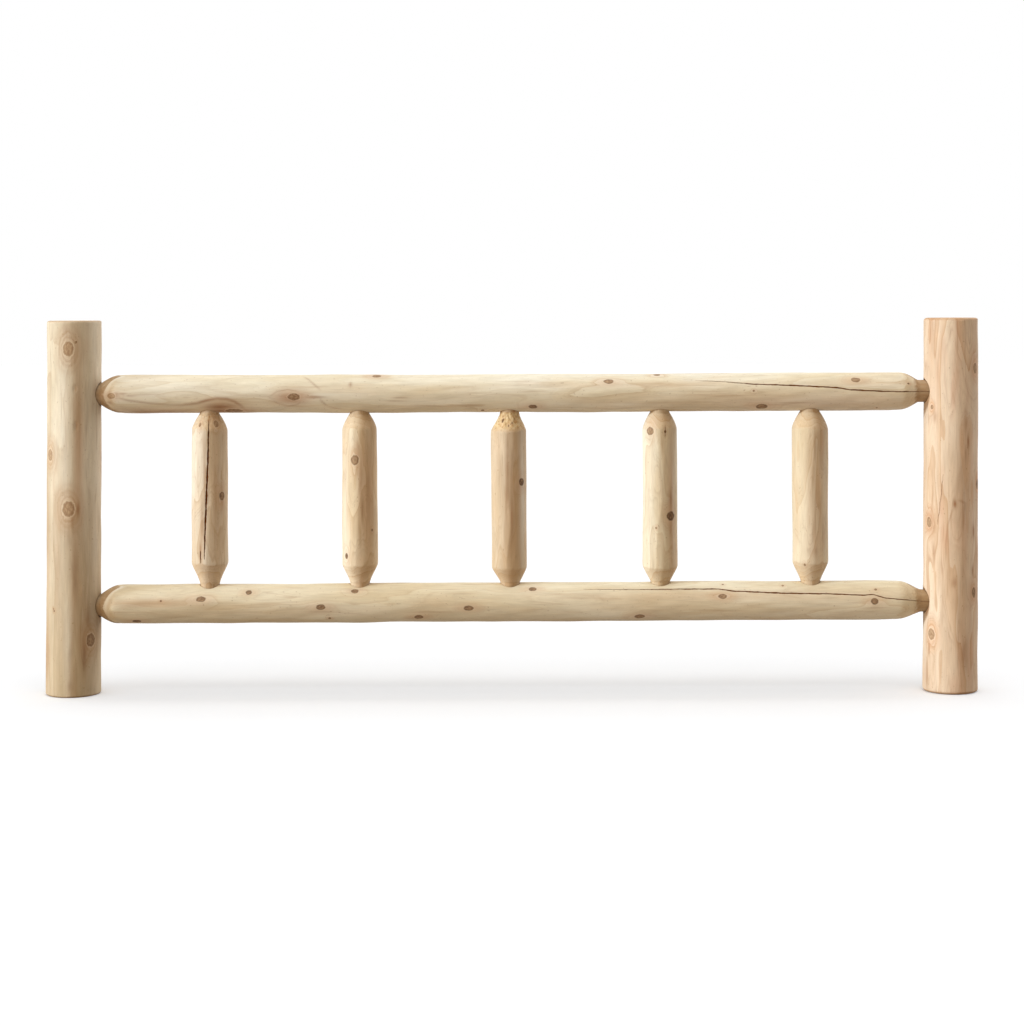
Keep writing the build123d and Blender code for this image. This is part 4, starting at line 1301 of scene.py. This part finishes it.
def seen(tree):
    """1 for rays of the camera, of a gloss or through glass, and 0 for rays that light the object."""
    path = tree.nodes.new("ShaderNodeLightPath")
    total = path.outputs["Is Camera Ray"]
    for name in ("Is Glossy Ray", "Is Transmission Ray"):
        total = add_node(tree, "Math", {0: total, 1: path.outputs[name]}, operation="MAXIMUM")
    return total


def studio_floor():
    """A pale floor that shows white, apart from the shadow that the bed casts on it."""
    bm = bmesh.new()
    bmesh.ops.create_grid(bm, x_segments=4, y_segments=4, size=20)
    mesh = bpy.data.meshes.new("studio_floor")
    bm.to_mesh(mesh)
    bm.free()
    piece = bpy.data.objects.new("studio_floor", mesh)
    bpy.context.scene.collection.objects.link(piece)
    material = bpy.data.materials.new("studio_floor")
    material.use_nodes = True
    tree = material.node_tree
    tree.nodes.clear()
    seen_by_light = add_node(tree, "BsdfDiffuse", {"Color": FLOOR_BOUNCE})
    shadow_part = add_node(tree, "BsdfDiffuse", {"Color": FLOOR_SHADOW_PART})
    white_part = add_node(tree, "Emission", {"Strength": FLOOR_WHITE_PART})
    both = add_node(tree, "AddShader", {0: shadow_part, 1: white_part})
    pick = add_node(tree, "MixShader", {0: seen(tree), 1: seen_by_light, 2: both})
    add_node(tree, "OutputMaterial", {0: pick})
    mesh.materials.append(material)
    return piece


def studio_world():
    """White where it shows, and a plain soft level of light elsewhere."""
    world = bpy.data.worlds.new("studio")
    world.use_nodes = True
    tree = world.node_tree
    tree.nodes.clear()
    fill = add_node(tree, "Background", {"Color": grey(1.0), "Strength": FILL_LEVEL})
    white = add_node(tree, "Background", {"Color": grey(1.0)})
    pick = add_node(tree, "MixShader", {0: seen(tree), 1: fill, 2: white})
    add_node(tree, "OutputWorld", {0: pick})
    bpy.context.scene.world = world


def sun(name, towards, level, angle, colour, lit):
    """A soft, even light from the direction towards, on the pieces that are lit.

    level is what it adds to a white face turned to it.
    """
    lamp = bpy.data.lights.new(name, "SUN")
    lamp.energy = level * math.pi
    lamp.angle = math.radians(angle)
    lamp.color = paint(colour)[:3]
    light = bpy.data.objects.new(name, lamp)
    light.rotation_euler = Vector(towards).to_track_quat("Z", "Y").to_euler()
    bpy.context.scene.collection.objects.link(light)
    group = bpy.data.collections.new(name + "_lights")
    for piece in lit:
        group.objects.link(piece)
    light.light_linking.receiver_collection = group


def from_side(azimuth, height):
    """Direction towards a light: azimuth in degrees from the left side towards the camera."""
    turn = math.radians(azimuth)
    rise = math.radians(height)
    return (-math.cos(rise) * math.cos(turn), -math.cos(rise) * math.sin(turn), math.sin(rise))


floor = studio_floor()
studio_world()
shown_parts = logs + fasteners
for lamp in (
    # name, direction, level, angle in degrees, colour, what it lights
    ("key_from_left", from_side(13, 10), 0.94, 5, "dcefff", shown_parts),
    ("softbox_front_left", from_side(45, 28), 0.56, 70, "ffe7c6", shown_parts),
    ("softbox_behind_right", from_side(215, 20), 0.66, 60, "fbf4ee", shown_parts),
    ("softbox_overhead", (-0.05, -0.10, 1.0), 0.61, 60, "f2faff", shown_parts),
    ("softbox_for_shadow", (0.0, -0.11, 1.0), 0.48, 74, "ffffff", [floor]),
    ("dome_for_shadow", (0.0, -0.10, 1.0), 0.52, 140, "ffffff", [floor]),
):
    sun(*lamp)

camera_data = bpy.data.cameras.new("camera")
camera_data.sensor_fit = "HORIZONTAL"
camera_data.sensor_width = 36
camera_data.lens = 72.1
camera_data.shift_x = 0.0004
camera_data.shift_y = -0.2046
camera = bpy.data.objects.new("camera", camera_data)
camera.location = (0, -3.8, 0.72)
camera.rotation_euler = Euler((math.radians(90), math.radians(0.2), 0))
bpy.context.scene.collection.objects.link(camera)
bpy.context.scene.camera = camera

bpy.context.scene.view_settings.view_transform = "Standard"
